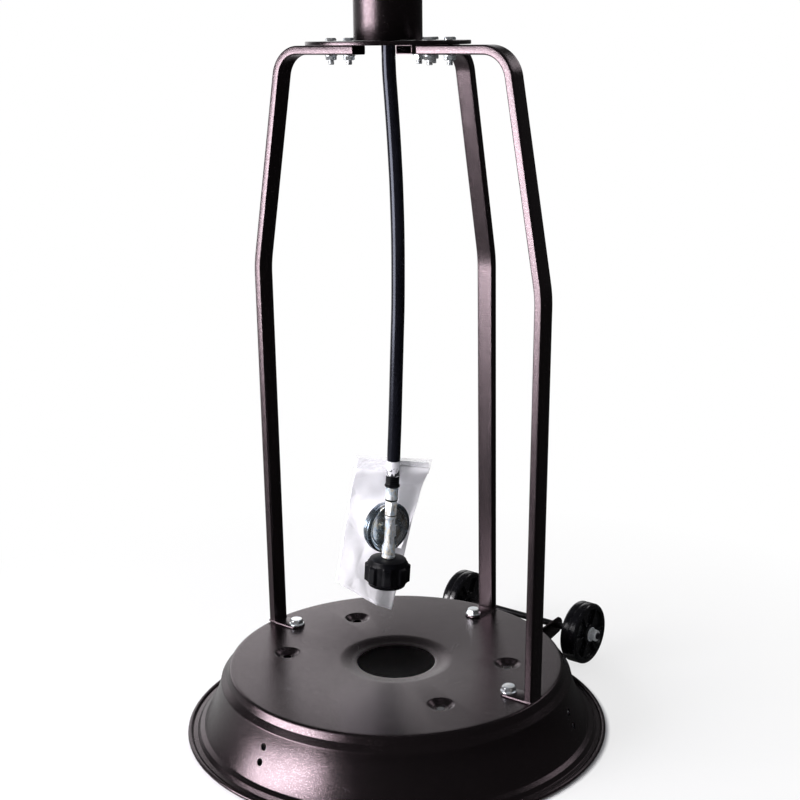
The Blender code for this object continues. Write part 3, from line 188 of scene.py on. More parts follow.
class Paint:
    """A material or world under construction."""

    def __init__(self, owner: bpy.types.Material | bpy.types.World) -> None:
        """Start with an empty tree.

        Args:
            owner: The material or world to fill.
        """
        owner.use_nodes = True
        self.tree = owner.node_tree
        self.tree.nodes.clear()

    def add(
        self,
        kind: str,
        settings: dict[str, object] | None = None,
        inputs: Values | None = None,
        output: str | int = 0,
    ) -> Wire:
        """Add a node.

        Args:
            kind: The node's type, without its ShaderNode prefix.
            settings: The node's own settings, set first.
            inputs: Values or wires for its sockets.
            output: The output to return.

        Returns:
            That output.
        """
        node = self.tree.nodes.new(f"ShaderNode{kind}")
        for key, value in (settings or {}).items():
            setattr(node, key, value)
        for key, value in (inputs or {}).items():
            plug(self.tree, node.inputs[key], value)
        return Wire(self.tree, node.outputs[output])

    def vector(self, operation: str, first: Value, second: Value = (0, 0, 0), output: str | int = 0) -> Wire:
        """Return the result of a Vector Math node."""
        return self.add("VectorMath", {"operation": operation}, {0: first, 1: second}, output)

    def length(self, vector: Wire) -> Wire:
        """Return the length of a vector."""
        return self.vector("LENGTH", vector, output="Value")

    def place(self, stretch: Point = (1, 1, 1)) -> Wire:
        """Return the place on the piece in metres, stretched along its axes."""
        return self.vector("MULTIPLY", self.add("TexCoord", output="Object"), stretch)

    def along(self, axis: str) -> Wire:
        """Return the place on the piece along one axis, in metres."""
        return self.add("SeparateXYZ", None, {0: self.place()}, axis)

    def ray(self, kind: str) -> Wire:
        """Return 1 for light rays of a kind and 0 for the rest."""
        return self.add("LightPath", output=f"Is {kind} Ray")

    def seen(self) -> Wire:
        """Return 1 for what the camera sees, also through something clear."""
        return self.ray("Camera") + self.ray("Transmission")

    def patches(self, size: float, detail: float = 2, stretch: Point = (1, 1, 1), warp: float = 0) -> Wire:
        """Return smooth noise in patches of a size in metres, finer with detail, shorter with stretch."""
        inputs = {"Vector": self.place(stretch), "Scale": 1 / size, "Detail": detail, "Distortion": warp}
        return self.add("TexNoise", None, inputs, "Fac")

    def flecks(self, size: float, share: float) -> Wire:
        """Return a mask of small round specks, by their spacing and the share of it that a speck takes."""
        inputs = {"Vector": self.place(), "Scale": 1 / size}
        return self.add("TexVoronoi", None, inputs, "Distance").over(share, -0.12)

    def rings(self, size: float) -> Wire:
        """Return noise that changes only with the distance from the post, in rings of a size."""
        inputs = {"W": self.length(self.place((1, 1, 0))), "Scale": 1 / size, "Detail": 2.0}
        return self.add("TexNoise", {"noise_dimensions": "1D"}, inputs, "Fac")

    def blend(self, factor: Value, first: Value, second: Value) -> Wire:
        """Return a colour between two, by a factor."""
        return self.add("Mix", {"data_type": "RGBA"}, {0: factor, 6: first, 7: second}, 2)

    def relief(self, height: Wire, depth: float, strength: float = 1.0) -> Wire:
        """Return a normal bent by a height from 0 to 1, of a depth in metres."""
        return self.add("Bump", None, {"Strength": strength, "Distance": depth, "Height": height})

    def show(self, shader: Wire, kind: str = "OutputMaterial") -> None:
        """Send a shader to the output of a kind."""
        output = self.tree.nodes.new(f"ShaderNode{kind}")
        self.tree.links.new(shader.socket, output.inputs["Surface"])


# Finishes


@dataclass(frozen=True)
class Finish:
    """A finish, by its name and the record's slot that it belongs to."""

    name: str
    slot: Slot

    def shade(self, paint: Paint) -> Values:
        """Return the finish's values, added to a material under construction."""
        raise NotImplementedError


@dataclass(frozen=True)
class PowderCoat(Finish):
    """Textured powder coat: a dark coat with a fine metallic fleck, orange peel and dull patches."""

    colour: Colour = (0.059, 0.0465, 0.0515)
    fleck: Colour = (0.24, 0.195, 0.212)
    metallic: float = 0.98
    roughness: float = 0.22
    grain: float = 0.0009
    depth: float = 0.00014
    clouds: float = 0.06
    handling: float = 0.018

    def shade(self, paint: Paint) -> Values:
        """Return the coat's values."""
        clouds = paint.patches(self.clouds, 3.0)
        grain = paint.patches(self.grain)
        handled = paint.patches(self.handling, 5.0, warp=0.6).over(0.6, 0.2)
        shade = paint.blend(clouds, self.colour, [1.25 * part for part in self.colour])
        flecks = paint.flecks(1.5 * self.grain, 0.2) * 0.55
        return {
            "Base Color": paint.blend(flecks, shade, self.fleck),
            "Metallic": self.metallic,
            "Roughness": self.roughness + (grain - 0.5) * 0.12 + handled * 0.04,
            "Normal": paint.relief(grain, self.depth),
        }


@dataclass(frozen=True)
class ZincPlate(Finish):
    """Bright zinc plate with bluish and straw-coloured stains, dull spots and a little grime; where asked,
    it also paints reflections on the regulator's stem and case rim.
    """

    colour: Colour = (0.78, 0.81, 0.84)
    cool: Colour = (0.34, 0.46, 0.58)
    warm: Colour = (0.7, 0.58, 0.36)
    stain: float = 0.65
    roughness: float = 0.22
    patch: float = 0.01
    spots: float = 0.003
    grime: float = 0.0035
    soil: Colour = (0.07, 0.08, 0.09)
    metallic: float = 0.8
    # Share of the painted reflections: the matt, paler front of the stem and the dark-blue band round the
    # case's rim.
    painted_reflection_share: float = 0.0
    front: float = 0.0012
    stem: Flat = (-0.0058, 0.0092)
    case: Point = (-0.0051, 0.009, 0.2198)
    case_axis: Point = (0.5865, -0.809, -0.039)
    rim_from: float = 0.024
    rim_reflection_colour: Colour = (0.13, 0.19, 0.26)

    def shade(self, paint: Paint) -> Values:
        """Return the plate's values, with a painted highlight that makes the front of the stem matt and
        paler, and a painted dark-blue reflection that darkens the case's rim.
        """
        blue = paint.patches(self.patch, warp=0.8).over(0.52, 0.22)
        straw = paint.patches(0.8 * self.patch, 2.0, (1.3, 1.1, 0.8), 1.2).over(0.58, 0.16)
        dull = paint.patches(self.spots)
        aside = paint.along("X") - self.stem[0]
        on_stem = aside.maths("ABSOLUTE", aside).over(self.stem[1], -0.0006)
        # Painted highlight: the front of the stem is made matt and paler, standing in for the bright
        # reflection it shows.
        pale = paint.along("Y").over(self.front, -0.002) * on_stem * self.painted_reflection_share
        # Painted reflection: the case's rim, away from the stem, is darkened towards dark blue.
        from_case = paint.vector("SUBTRACT", paint.place(), self.case)
        from_axis = paint.length(paint.vector("CROSS_PRODUCT", from_case, self.case_axis))
        rim = from_axis.over(self.rim_from, 0.001) * (1 - on_stem) * self.painted_reflection_share
        grime = paint.patches(self.grime, 3.0, (1.0, 1.0, 0.5), 0.5).over(0.6, 0.08) * (0.08 + pale * 0.45)
        colour = paint.blend(blue * self.stain, self.colour, self.cool)
        colour = paint.blend(straw * self.stain, colour, self.warm)
        colour = paint.blend(rim * 0.75, colour, self.rim_reflection_colour)
        return {
            "Base Color": paint.blend(grime, colour, self.soil),
            "Metallic": self.metallic - pale * 0.45,
            "Roughness": self.roughness + (dull - 0.5) * 0.12 + blue * 0.05 + pale * 0.1,
            "Normal": paint.relief(dull, 0.00005, 0.25),
        }


@dataclass(frozen=True)
class MouldedPlastic(Finish):
    """Moulded plastic or rubber: one colour with a fine grain, a dull bloom and small scuffs."""

    colour: Colour = (0.002, 0.002, 0.003)
    bloom: Colour = (0.012, 0.012, 0.014)
    roughness: float = 0.36
    grain: float = 0.0005
    depth: float = 0.00004
    coat: float = 0.0
    specular: float = 0.22

    def shade(self, paint: Paint) -> Values:
        """Return the plastic's values."""
        grain = paint.patches(self.grain)
        bloom = paint.patches(0.011, 4.0, warp=0.5).over(0.58, 0.26)
        scuffs = paint.patches(0.0022, 3.0, (1.0, 1.0, 0.22)).over(0.67, 0.05)
        return {
            "Base Color": paint.blend(bloom * 0.45 + scuffs * 0.3, self.colour, self.bloom),
            "Roughness": self.roughness + bloom * 0.08 + scuffs * 0.22 + (grain - 0.5) * 0.08,
            "Specular IOR Level": self.specular,
            "Coat Weight": self.coat,
            "Coat Roughness": 0.1,
            "Normal": paint.relief(grain, self.depth, 0.5),
        }


@dataclass(frozen=True)
class Rubber(Finish):
    """Extruded rubber with the print of its braid and faint lengthwise drag lines."""

    colour: Colour = (0.003, 0.003, 0.0045)
    bloom: Colour = (0.009, 0.0095, 0.014)
    roughness: float = 0.15
    braid: float = 0.0016

    def shade(self, paint: Paint) -> Values:
        """Return the rubber's values."""
        braid = paint.patches(self.braid, 1.0, (1.0, 1.0, 0.9))
        drag = paint.patches(0.0012, 2.0, (1.0, 1.0, 0.02))
        bloom = paint.patches(0.025, 3.0, (1.0, 1.0, 0.4)).over(0.55, 0.3)
        return {
            "Base Color": paint.blend(bloom * 0.4 + drag * 0.2, self.colour, self.bloom),
            "Roughness": self.roughness + (braid - 0.5) * 0.12 + bloom * 0.05,
            "Specular IOR Level": 0.21,
            "Specular Tint": (0.74, 0.8, 1.0, 1.0),
            "Normal": paint.relief(braid + drag, 0.00006, 0.28),
        }


@dataclass(frozen=True)
class Sleeving(Finish):
    """White shrink sleeving, scuffed dark at its lower edge."""

    colour: Colour = (0.56, 0.56, 0.6)
    scuff: Colour = (0.012, 0.012, 0.015)
    low: float = 0.287

    def shade(self, paint: Paint) -> Values:
        """Return the sleeving's values."""
        chips = paint.patches(0.005, 3.0, (1.0, 1.0, 0.7), 1.4)
        edge = (chips + paint.along("Z").over(self.low, -0.012) * 0.22).over(0.68, 0.03)
        return {
            "Base Color": paint.blend(edge, self.colour, self.scuff),
            "Roughness": 0.42 + edge * 0.15,
            "Normal": paint.relief(1 - edge, 0.00015, 0.5),
        }


@dataclass(frozen=True)
class Paper(Finish):
    """Thin white paper, soft with fine creases."""

    colour: Colour = (0.86, 0.86, 0.89)
    shadow: Colour = (0.7, 0.69, 0.74)
    crease: float = 1 / 24

    def shade(self, paint: Paint) -> Values:
        """Return the paper's values."""
        mottle = paint.patches(0.02, 4.0)
        fibre = paint.patches(0.0009)
        cells = {"Vector": paint.place(), "Scale": 1 / self.crease}
        edges = paint.add("TexVoronoi", {"feature": "DISTANCE_TO_EDGE"}, cells, "Distance")
        creases = edges.over(0.03, 0.06)
        return {
            "Base Color": paint.blend(mottle * 0.5, self.colour, self.shadow),
            "Roughness": 0.62 + (fibre - 0.5) * 0.1,
            "Normal": paint.relief(fibre * 0.2 + creases * 0.8, 0.0004, 0.5),
        }


@dataclass(frozen=True)
class ClearFilm(Finish):
    """Clear plastic film, a little cloudy along its wrinkles."""

    colour: Colour = (0.8, 0.8, 0.84)
    cloud: Colour = (0.92, 0.92, 0.94)
    clarity: float = 0.22

    def shade(self, paint: Paint) -> Values:
        """Return the film's values."""
        wrinkles = paint.patches(0.012, 3.0, (0.5, 1.0, 1.6), 0.6)
        return {
            "Base Color": paint.blend(wrinkles, self.colour, self.cloud),
            "Roughness": 0.16 + wrinkles * 0.12,
            "Alpha": self.clarity + wrinkles.over(0.58, 0.2) * 0.35,
            "Normal": paint.relief(wrinkles, 0.0008, 0.6),
        }


@dataclass(frozen=True)
class TurnedMetal(Finish):
    """Metal with the fine lines of polishing, drawing or spinning, and a few dull patches."""

    colour: Colour = (0.6, 0.59, 0.57)
    tint: Colour = (0.46, 0.45, 0.45)
    roughness: float = 0.28
    spun: bool = False
    line: float = 0.0012
    stroke: float = 0.02
    metallic: float = 0.85

    def shade(self, paint: Paint) -> Values:
        """Return the metal's values."""
        across = (1, 1, self.stroke / self.line)
        lines = paint.rings(self.line) if self.spun else paint.patches(self.stroke, 3.0, across)
        dull = paint.patches(0.045, 4.0, warp=0.4).over(0.55, 0.3)
        return {
            "Base Color": paint.blend(lines * 0.5 + dull * 0.3, self.colour, self.tint),
            "Metallic": self.metallic,
            "Roughness": self.roughness + (lines - 0.5) * 0.14 + dull * 0.07,
            "Normal": paint.relief(lines, 0.00005, 0.3),
        }


@dataclass(frozen=True)
class PaleFloor:
    """The studio's pale floor.

    It takes real shadows near the object and is white beyond. Reflections see it bright on one side.
    """

    colour: Colour = (0.9, 0.9, 0.93)
    white: Colour = (1.0, 1.0, 1.0)
    rim: float = 0.232
    rim_softness: float = 0.004
    near: float = 0.26
    reach: float = 0.5
    faint: float = 0.72
    bright_way: Point = (-0.86, 0.5, 0.0)
    bright_edge: Flat = (0.45, 0.7)
    bright: float = 0.5
    dark: float = 0.03

    def material(self) -> bpy.types.Material:
        """Return the floor's material."""
        made = bpy.data.materials.new("studio_floor")
        paint = Paint(made)
        place = paint.place((1, 1, 0))
        distance = paint.length(place)
        side = paint.vector("DOT_PRODUCT", paint.vector("NORMALIZE", place), self.bright_way, "Value")
        seen, mirrored = paint.seen(), paint.ray("Glossy")
        reflected = side.over(*self.bright_edge) * (self.bright - self.dark) + self.dark
        matt = paint.add("BsdfDiffuse", None, {"Color": self.colour})
        glow = paint.add("Emission", None, {"Color": self.white, "Strength": seen + mirrored * reflected})
        white = distance.over(self.near + self.reach / 2, self.reach) * (1 - self.faint) + self.faint
        far = distance.over(self.rim, self.rim_softness) * (white * seen + mirrored)
        paint.show(paint.add("MixShader", None, {0: far, 1: matt, 2: glow}))
        return made


POWDER = PowderCoat("powder_coat", Slot.POWDER_COAT)
# This zinc carries the painted reflections: the matt, paler front of the hanging stem and the dark-blue case
# rim.
ZINC = ZincPlate("zinc_plate", Slot.ZINC, metallic=0.97, painted_reflection_share=1.0)
BOLT_ZINC = ZincPlate("bolt_zinc", Slot.ZINC, stain=0.25, roughness=0.16, patch=0.006, metallic=0.85)
# Painted light: the axle nuts' zinc is made half matt, so it shows bright where the lamps don't reach their
# faces.
PAINTED_LIGHT_NUT_ZINC = ZincPlate("painted_light_nut_zinc", Slot.ZINC, stain=0.15, roughness=0.14, patch=0.006, metallic=0.5)
HANDLE_BLACK = MouldedPlastic("handle_black", Slot.BLACK_PLASTIC, specular=0.12)
WHEEL_BLACK = MouldedPlastic(
    "wheel_black", Slot.WHEEL_PLASTIC, bloom=(0.008, 0.008, 0.011), roughness=0.18, grain=0.003,
    depth=0.00003, coat=0.2, specular=0.4,
)
SEAL_BLACK = MouldedPlastic("seal_black", Slot.BLACK_RUBBER, roughness=0.45)
BUTTON_RED = MouldedPlastic("button_red", Slot.RED_PLASTIC, (0.5, 0.025, 0.018), (0.62, 0.12, 0.09), 0.3)
AXLE_STEEL = TurnedMetal("axle_steel", Slot.BLACK_STEEL, (0.03, 0.03, 0.033), (0.055, 0.052, 0.055), 0.34)
HOSE_RUBBER = Rubber("hose_rubber", Slot.BLACK_RUBBER)
SLEEVING = Sleeving("white_sleeving", Slot.WHITE_SLEEVE)
PAPER = Paper("blank_paper", Slot.PAPER)
FILM = ClearFilm("clear_film", Slot.PAPER)
STAINLESS = TurnedMetal("brushed_stainless", Slot.STAINLESS)
SPUN_ALUMINIUM = TurnedMetal(
    "spun_aluminium", Slot.ALUMINIUM, (0.8, 0.8, 0.81), (0.66, 0.66, 0.68), 0.3,
    spun=True, line=0.003, metallic=0.72,
)
BRASS = ZincPlate("brass", Slot.BRASS, (0.72, 0.52, 0.22), (0.5, 0.36, 0.18), (0.78, 0.58, 0.28), 0.6, 0.26)


@lru_cache(maxsize=None)
def material_of(finish: Finish) -> bpy.types.Material:
    """Return a finish's material, made once.

    Args:
        finish: The finish.

    Returns:
        Its node material.
    """
    made = bpy.data.materials.new(finish.name)
    paint = Paint(made)
    paint.show(paint.add("BsdfPrincipled", None, finish.shade(paint)))
    return made


# Places and outlines


def polar(radius: float, azimuth: float, height: float = 0.0) -> Vector:
    """Return the point at a radius, azimuth and height about the post."""
    return Vector((radius * cos(azimuth), radius * sin(azimuth), height))


def facing(place: Vector, way: Vector) -> Matrix:
    """Return the placement that puts a piece's own Z axis along a way."""
    return Matrix.Translation(place) @ way.to_track_quat("Z", "Y").to_matrix().to_4x4()


def upright(place: Vector, spin: float = 0.0) -> Matrix:
    """Return the placement of a piece that stands upright at a place, turned about Z."""
    return Matrix.Translation(place) @ Matrix.Rotation(spin, 4, "Z")


def raised(height: float) -> Matrix:
    """Return the placement at a height on a piece's own Z axis."""
    return Matrix.Translation((0, 0, height))


def smooth_step(share: float) -> float:
    """Return a share eased in and out, kept from 0 to 1."""
    share = min(1.0, max(0.0, share))
    return share * share * (3 - 2 * share)


def shares(steps: int) -> list[float]:
    """Return the shares from 0 to 1 in even steps."""
    return [index / steps for index in range(steps + 1)]


def circle_angles(steps: int) -> list[float]:
    """Return evenly spaced angles round a circle."""
    return [tau * index / steps for index in range(steps)]


def rounded(corners: Profile, radius: float | Sequence[float], steps: int = 4) -> Profile:
    """Round the inner corners of a line.

    Args:
        corners: The line's corners.
        radius: One radius, or one for each inner corner.
        steps: How many pieces each arc has.

    Returns:
        The rounded line.
    """
    radii = [radius] * (len(corners) - 2) if isinstance(radius, (int, float)) else list(radius)
    line = [corners[0]]
    for before, corner, after, bend in zip(corners, corners[1:], corners[2:], radii):
        middle = Vector(corner)
        backward = Vector(before) - middle
        forward = Vector(after) - middle
        half = backward.angle(forward) / 2
        if bend <= 0 or half > pi / 2 - 0.01:
            line.append(corner)
            continue
        reach = min(bend / tan(half), 0.49 * backward.length, 0.49 * forward.length)
        bend = reach * tan(half)
        backward.normalize()
        forward.normalize()
        centre = middle + (backward + forward).normalized() * bend / sin(half)
        start = middle + backward * reach - centre
        end = middle + forward * reach - centre
        line += [tuple(centre + start.lerp(end, share).normalized() * bend) for share in shares(steps)]
    line.append(corners[-1])
    return line


def rounded_loop(start: Flat, corners: Profile, radius: float | Sequence[float], steps: int = 4) -> Profile:
    """Return a closed outline with its corners rounded, from a start on the side before the first corner."""
    return rounded([start, *corners, start], radius, steps)[:-1]


def ring_section(inner: float, outer: float, low: float, high: float) -> Profile:
    """Return a ring's section as (radius, height), from its inner top corner round to its inner foot."""
    return [(inner, high), (outer, high), (outer, low), (inner, low)]


def pin_section(radius: float, reach: float) -> Profile:
    """Return the section of a round cutter that reaches as far up as down."""
    return [(0, -reach), (radius, -reach), (radius, reach), (0, reach)]


def beside(line: Profile, distance: float) -> Profile:
    """Return a line beside another.

    Args:
        line: The line's points.
        distance: How far to its left the new line is.

    Returns:
        The new line's points.
    """
    points = [Vector(point) for point in line]
    sides = []
    for index, point in enumerate(points):
        first = point - points[index - 1] if index else points[1] - point
        second = points[index + 1] - point if index < len(points) - 1 else first
        normals = [Vector((-way.y, way.x)).normalized() for way in (first, second)]
        middle = (normals[0] + normals[1]).normalized()
        sides.append(tuple(point + middle * distance / max(0.5, middle.dot(normals[0]))))
    return sides


def sheet_loop(line: Profile, thickness: float) -> Profile:
    """Return the closed outline of a sheet whose one face is a line, thickened to its right."""
    return line + beside(line, -thickness)[::-1]


def arc(centre: Flat, radius: float, start: float, end: float, steps: int) -> Profile:
    """Return points along an arc, from one angle in degrees to another."""
    angles = [radians(start + (end - start) * share) for share in shares(steps)]
    return [(centre[0] + radius * cos(angle), centre[1] + radius * sin(angle)) for angle in angles]


# Mesh building


class Shape:
    """The faces of one piece, gathered before it becomes an object."""

    def __init__(self) -> None:
        """Start with no faces."""
        self.mesh = bmesh.new()

    def loft(
        self,
        rings: Sequence[Sequence[Vector]],
        closed: bool = False,
        lids: bool = False,
        open_rows: bool = False,
    ) -> Shape:
        """Skin a row of rings with quads.

        Args:
            rings: The rings, each with the same number of points.
            closed: Whether the last ring joins the first.
            lids: Whether the first and last rings are filled.
            open_rows: Whether the rings are lines that aren't closed on themselves.

        Returns:
            This shape.
        """
        rows = [[self.mesh.verts.new(point) for point in ring] for ring in rings]
        pairs = list(zip(rows, rows[1:])) + ([(rows[-1], rows[0])] if closed else [])
        for lower, upper in pairs:
            for index in range(len(lower) - open_rows):
                following = (index + 1) % len(lower)
                self.mesh.faces.new((lower[index], lower[following], upper[following], upper[index]))
        for row in (rows[0], rows[-1]) if lids else ():
            self.mesh.faces.new(row)
        return self

    def turned(
        self,
        profile: Profile,
        steps: int,
        place: Matrix = IDENTITY,
        closed: bool = False,
        swell: Radius | None = None,
    ) -> Shape:
        """Turn a profile of (radius, height) points about Z.

        Args:
            profile: The points, which may start or end on the axis.
            steps: How many pieces the turn has.
            place: Where the turned shape goes.
            closed: Whether the profile is a loop.
            swell: A factor on the radius by azimuth and height, for shapes that aren't round.

        Returns:
            This shape.
        """
        rings = []
        for radius, height in profile:
            ring = []
            for azimuth in circle_angles(steps):
                reach = radius * swell(azimuth, height) if swell else radius
                ring.append(place @ polar(reach, azimuth, height))
            rings.append(ring)
        return self.loft(rings, closed)

    def tube(self, points: Sequence[Vector], radius: float | Sequence[float], steps: int = 16) -> Shape:
        """Skin a round bar with flat ends along a line.

        Args:
            points: The line's points.
            radius: One radius, or one for each point.
            steps: How many pieces each ring has.

        Returns:
            This shape.
        """
        radii = [radius] * len(points) if isinstance(radius, (int, float)) else list(radius)
        rings = []
        side = Vector((0, 1, 0))
        for index, point in enumerate(points):
            way = points[min(index + 1, len(points) - 1)] - points[max(index - 1, 0)]
            across = way.cross(side).normalized()
            side = across.cross(way).normalized()
            spokes = [across * cos(angle) + side * sin(angle) for angle in circle_angles(steps)]
            rings.append([point + spoke * radii[index] for spoke in spokes])
        return self.loft(rings, lids=True)

    def merge(self, other: Shape, place: Matrix = IDENTITY) -> Shape:
        """Add another shape's faces.

        Args:
            other: The other shape, which can't be used afterwards.
            place: Where it goes.

        Returns:
            This shape.
        """
        data = other.as_mesh("part")
        data.transform(place)
        self.mesh.from_mesh(data)
        bpy.data.meshes.remove(data)
        return self

    def block(self, size: Point, place: Matrix = IDENTITY, rounding: float = 0) -> Shape:
        """Add a box about its middle.

        Args:
            size: Its lengths along X, Y and Z.
            place: Where it goes.
            rounding: The radius of its edges.

        Returns:
            This shape.
        """
        part = Shape()
        bmesh.ops.create_cube(part.mesh, size=1, matrix=Matrix.Diagonal((*size, 1)))
        part.soften(rounding)
        return self.merge(part, place)

    def plate(self, line: Profile, thickness: float, place: Matrix = IDENTITY, rounding: float = 0) -> Shape:
        """Add a flat plate about its own XY plane.

        Args:
            line: Its outline.
            thickness: Its thickness.
            place: Where it goes.
            rounding: The radius of its edges.

        Returns:
            This shape.
        """
        part = Shape()
        rings = [[Vector((x, y, side * thickness / 2)) for x, y in line] for side in (-1, 1)]
        part.loft(rings, lids=True)
        part.soften(rounding)
        return self.merge(part, place)

    def soften(self, rounding: float) -> None:
        """Round the shape's sharp edges.

        Args:
            rounding: The radius of the rounding, or 0 for none.
        """
        if rounding <= 0:
            return
        self.mesh.normal_update()
        edges = [edge for edge in self.mesh.edges if edge.is_manifold and edge.calc_face_angle(0.0) > SHARP]
        bmesh.ops.bevel(
            self.mesh, geom=edges, offset=rounding, segments=2, profile=0.5, affect="EDGES",
            clamp_overlap=True,
        )

    def as_mesh(self, name: str) -> bpy.types.Mesh:
        """Turn the gathered faces into a mesh, closed up and with its faces outwards.

        Args:
            name: The mesh's name.

        Returns:
            The mesh. The shape can't be used afterwards.
        """
        bmesh.ops.remove_doubles(self.mesh, verts=self.mesh.verts, dist=1e-6)
        bmesh.ops.recalc_face_normals(self.mesh, faces=self.mesh.faces)
        data = bpy.data.meshes.new(name)
        self.mesh.to_mesh(data)
        self.mesh.free()
        return data

    def pierced(self, cutters: Shape) -> Shape:
        """Cut other solids out of this one.

        Args:
            cutters: The solids, which don't touch each other.

        Returns:
            A new shape.
        """
        shapes = {"solid": self, "cutter": cutters}
        solids = [add_object(name, shape.as_mesh(name)) for name, shape in shapes.items()]
        step = solids[0].modifiers.new("cut", "BOOLEAN")
        step.object = solids[1]
        step.solver = "EXACT"
        bpy.context.view_layer.update()
        graph = bpy.context.evaluated_depsgraph_get()
        data = bpy.data.meshes.new_from_object(solids[0].evaluated_get(graph))
        made = Shape()
        made.mesh.from_mesh(data)
        bpy.data.meshes.remove(data)
        for solid in solids:
            left = solid.data
            bpy.data.objects.remove(solid)
            bpy.data.meshes.remove(left)
        return made


def add_object(name: str, data: bpy.types.ID) -> Piece:
    """Add an object to the scene, and return it."""
    made = bpy.data.objects.new(name, data)
    bpy.context.scene.collection.objects.link(made)
    return made


def make_piece(
    shape: Shape,
    name: str,
    finish: Finish,
    node: str = "",
    body: Body = Body.STAND,
    crease: float = 32.0,
) -> Piece:
    """Make a shape into a piece of the heater.

    Args:
        shape: The piece's faces, in place.
        name: The piece's name.
        finish: Its finish.
        node: The CAD node that it replaces, if any.
        body: The body it rides on.
        crease: The angle in degrees from which an edge is sharp.

    Returns:
        The piece.
    """
    data = shape.as_mesh(name)
    data.materials.append(material_of(finish))
    data.shade_smooth()
    data.set_sharp_from_angle(angle=radians(crease))
    made = add_object(name, data)
    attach(made, body.value)
    if node:
        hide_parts(node)
    log.info("%s: %d faces, on %s", name, len(data.polygons), body.value)
    return made


def dress_node(node: str, finish: Finish) -> None:
    """Give a CAD node that stays in view its finish.

    Args:
        node: The node's name.
        finish: The finish for all its faces.
    """
    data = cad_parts[node].data
    data.materials.clear()
    data.materials.append(material_of(finish))
    log.info("%s: CAD node dressed", node)


# Studio


@dataclass(frozen=True)
class Lamp:
    """A soft rectangular lamp that makes the highlights, or else lights the matt surfaces."""

    name: str
    place: Point
    aim: Point
    size: Flat
    power: float
    for_shine: bool = True
    colour: Colour = (1.0, 0.97, 0.99)

    def hang(self) -> None:
        """Make the lamp."""
        data = bpy.data.lights.new(self.name, "AREA")
        data.shape = "RECTANGLE"
        data.size, data.size_y = self.size
        data.energy = self.power
        data.color = self.colour
        lamp = add_object(self.name, data)
        lamp.location = self.place
        lamp.rotation_euler = (Vector(self.aim) - Vector(self.place)).to_track_quat("-Z", "Y").to_euler()
        lamp.visible_camera = False
        lamp.visible_diffuse = not self.for_shine
        lamp.visible_glossy = self.for_shine


LAMPS = (
    Lamp("left_light", (-1.9, -0.88, 0.92), (0, 0, 0.5), (1.7, 1.4), 100.0, for_shine=False),
    Lamp("left_shine", (-1.75, -0.75, 0.44), (0, 0, 0.42), (1.5, 0.66), 58.0),
    Lamp("high_shine", (-1.72, -0.8, 1.22), (0, 0, 0.7), (1.2, 0.65), 8.0),
    Lamp("back_shine", (-0.4, 0.6, 0.3), (-0.05, 0, 0.07), (0.8, 0.3), 0.5),
    Lamp("right_shine", (1.5, 1.1, 1.55), (0, 0, 0.07), (1.2, 0.5), 3.5),
)


@dataclass
class Studio:
    """The pale floor, the soft lamps, the white world and the camera at the photograph's angle."""

    camera_place: Point = (0.0, -1.44979, 0.73443)
    yaw: float = radians(0.29926)
    pitch: float = radians(14.33184)
    roll: float = radians(-0.67658)
    lens: float = 64.5349
    sensor: float = 36.0
    floor_half: float = 9.0
    bright_way: Point = (-0.3, 0.954, 0.0)
    wall_side: Flat = (0.9, 0.12)
    wall_top: Flat = (0.47, -0.16)
    bright_half: Flat = (0.0, 1.6)
    ambient: Flat = (0.3, 0.62)
    mirrored: Flat = (0.06, 1.15)
    white: Colour = (1.0, 1.0, 1.0)

    def place_camera(self) -> None:
        """Make the scene's camera."""
        data = bpy.data.cameras.new("photo_camera")
        data.lens = self.lens
        data.sensor_width = self.sensor
        camera = add_object("photo_camera", data)
        level = Matrix.Rotation(-self.yaw, 4, "Z") @ Matrix.Rotation(pi / 2 - self.pitch, 4, "X")
        turn = level @ Matrix.Rotation(self.roll, 4, "Z")
        camera.matrix_world = Matrix.Translation(self.camera_place) @ turn
        bpy.context.scene.camera = camera

    def lay_floor(self) -> None:
        """Make the floor."""
        shape = Shape()
        half = self.floor_half
        corners = [(-half, -half), (half, -half), (half, half), (-half, half)]
        shape.mesh.faces.new([shape.mesh.verts.new((x, y, 0)) for x, y in corners])
        data = shape.as_mesh("studio_floor")
        data.materials.append(PaleFloor().material())
        add_object("studio_floor", data)

    def light_world(self) -> None:
        """Make the world: white to the camera, and for the rest a room brighter behind and to the left."""
        world = bpy.data.worlds.new("studio_world")
        bpy.context.scene.world = world
        paint = Paint(world)
        way = paint.add("TexCoord", output="Generated")
        level_way = paint.vector("NORMALIZE", paint.vector("MULTIPLY", way, (1, 1, 0)))
        side = paint.vector("DOT_PRODUCT", level_way, self.bright_way, "Value")
        height = paint.add("SeparateXYZ", None, {0: way}, "Z")
        wall = side.over(*self.wall_side) * height.over(*self.wall_top)
        seen, glossy = paint.seen(), paint.ray("Glossy")
        in_mirror = wall * (self.mirrored[1] - self.mirrored[0]) + self.mirrored[0]
        on_matt = side.over(*self.bright_half) * (self.ambient[1] - self.ambient[0]) + self.ambient[0]
        level = seen + (1 - seen) * ((1 - glossy) * on_matt + glossy * in_mirror)
        shader = paint.add("Background", None, {"Color": self.white, "Strength": level})
        paint.show(shader, "OutputWorld")

    def build(self) -> None:
        """Make the whole studio, apart from the camera."""
        bpy.context.scene.view_settings.view_transform = "Standard"
        self.lay_floor()
        self.light_world()
        for lamp in LAMPS:
            lamp.hang()


# Gas hose and what hangs on it


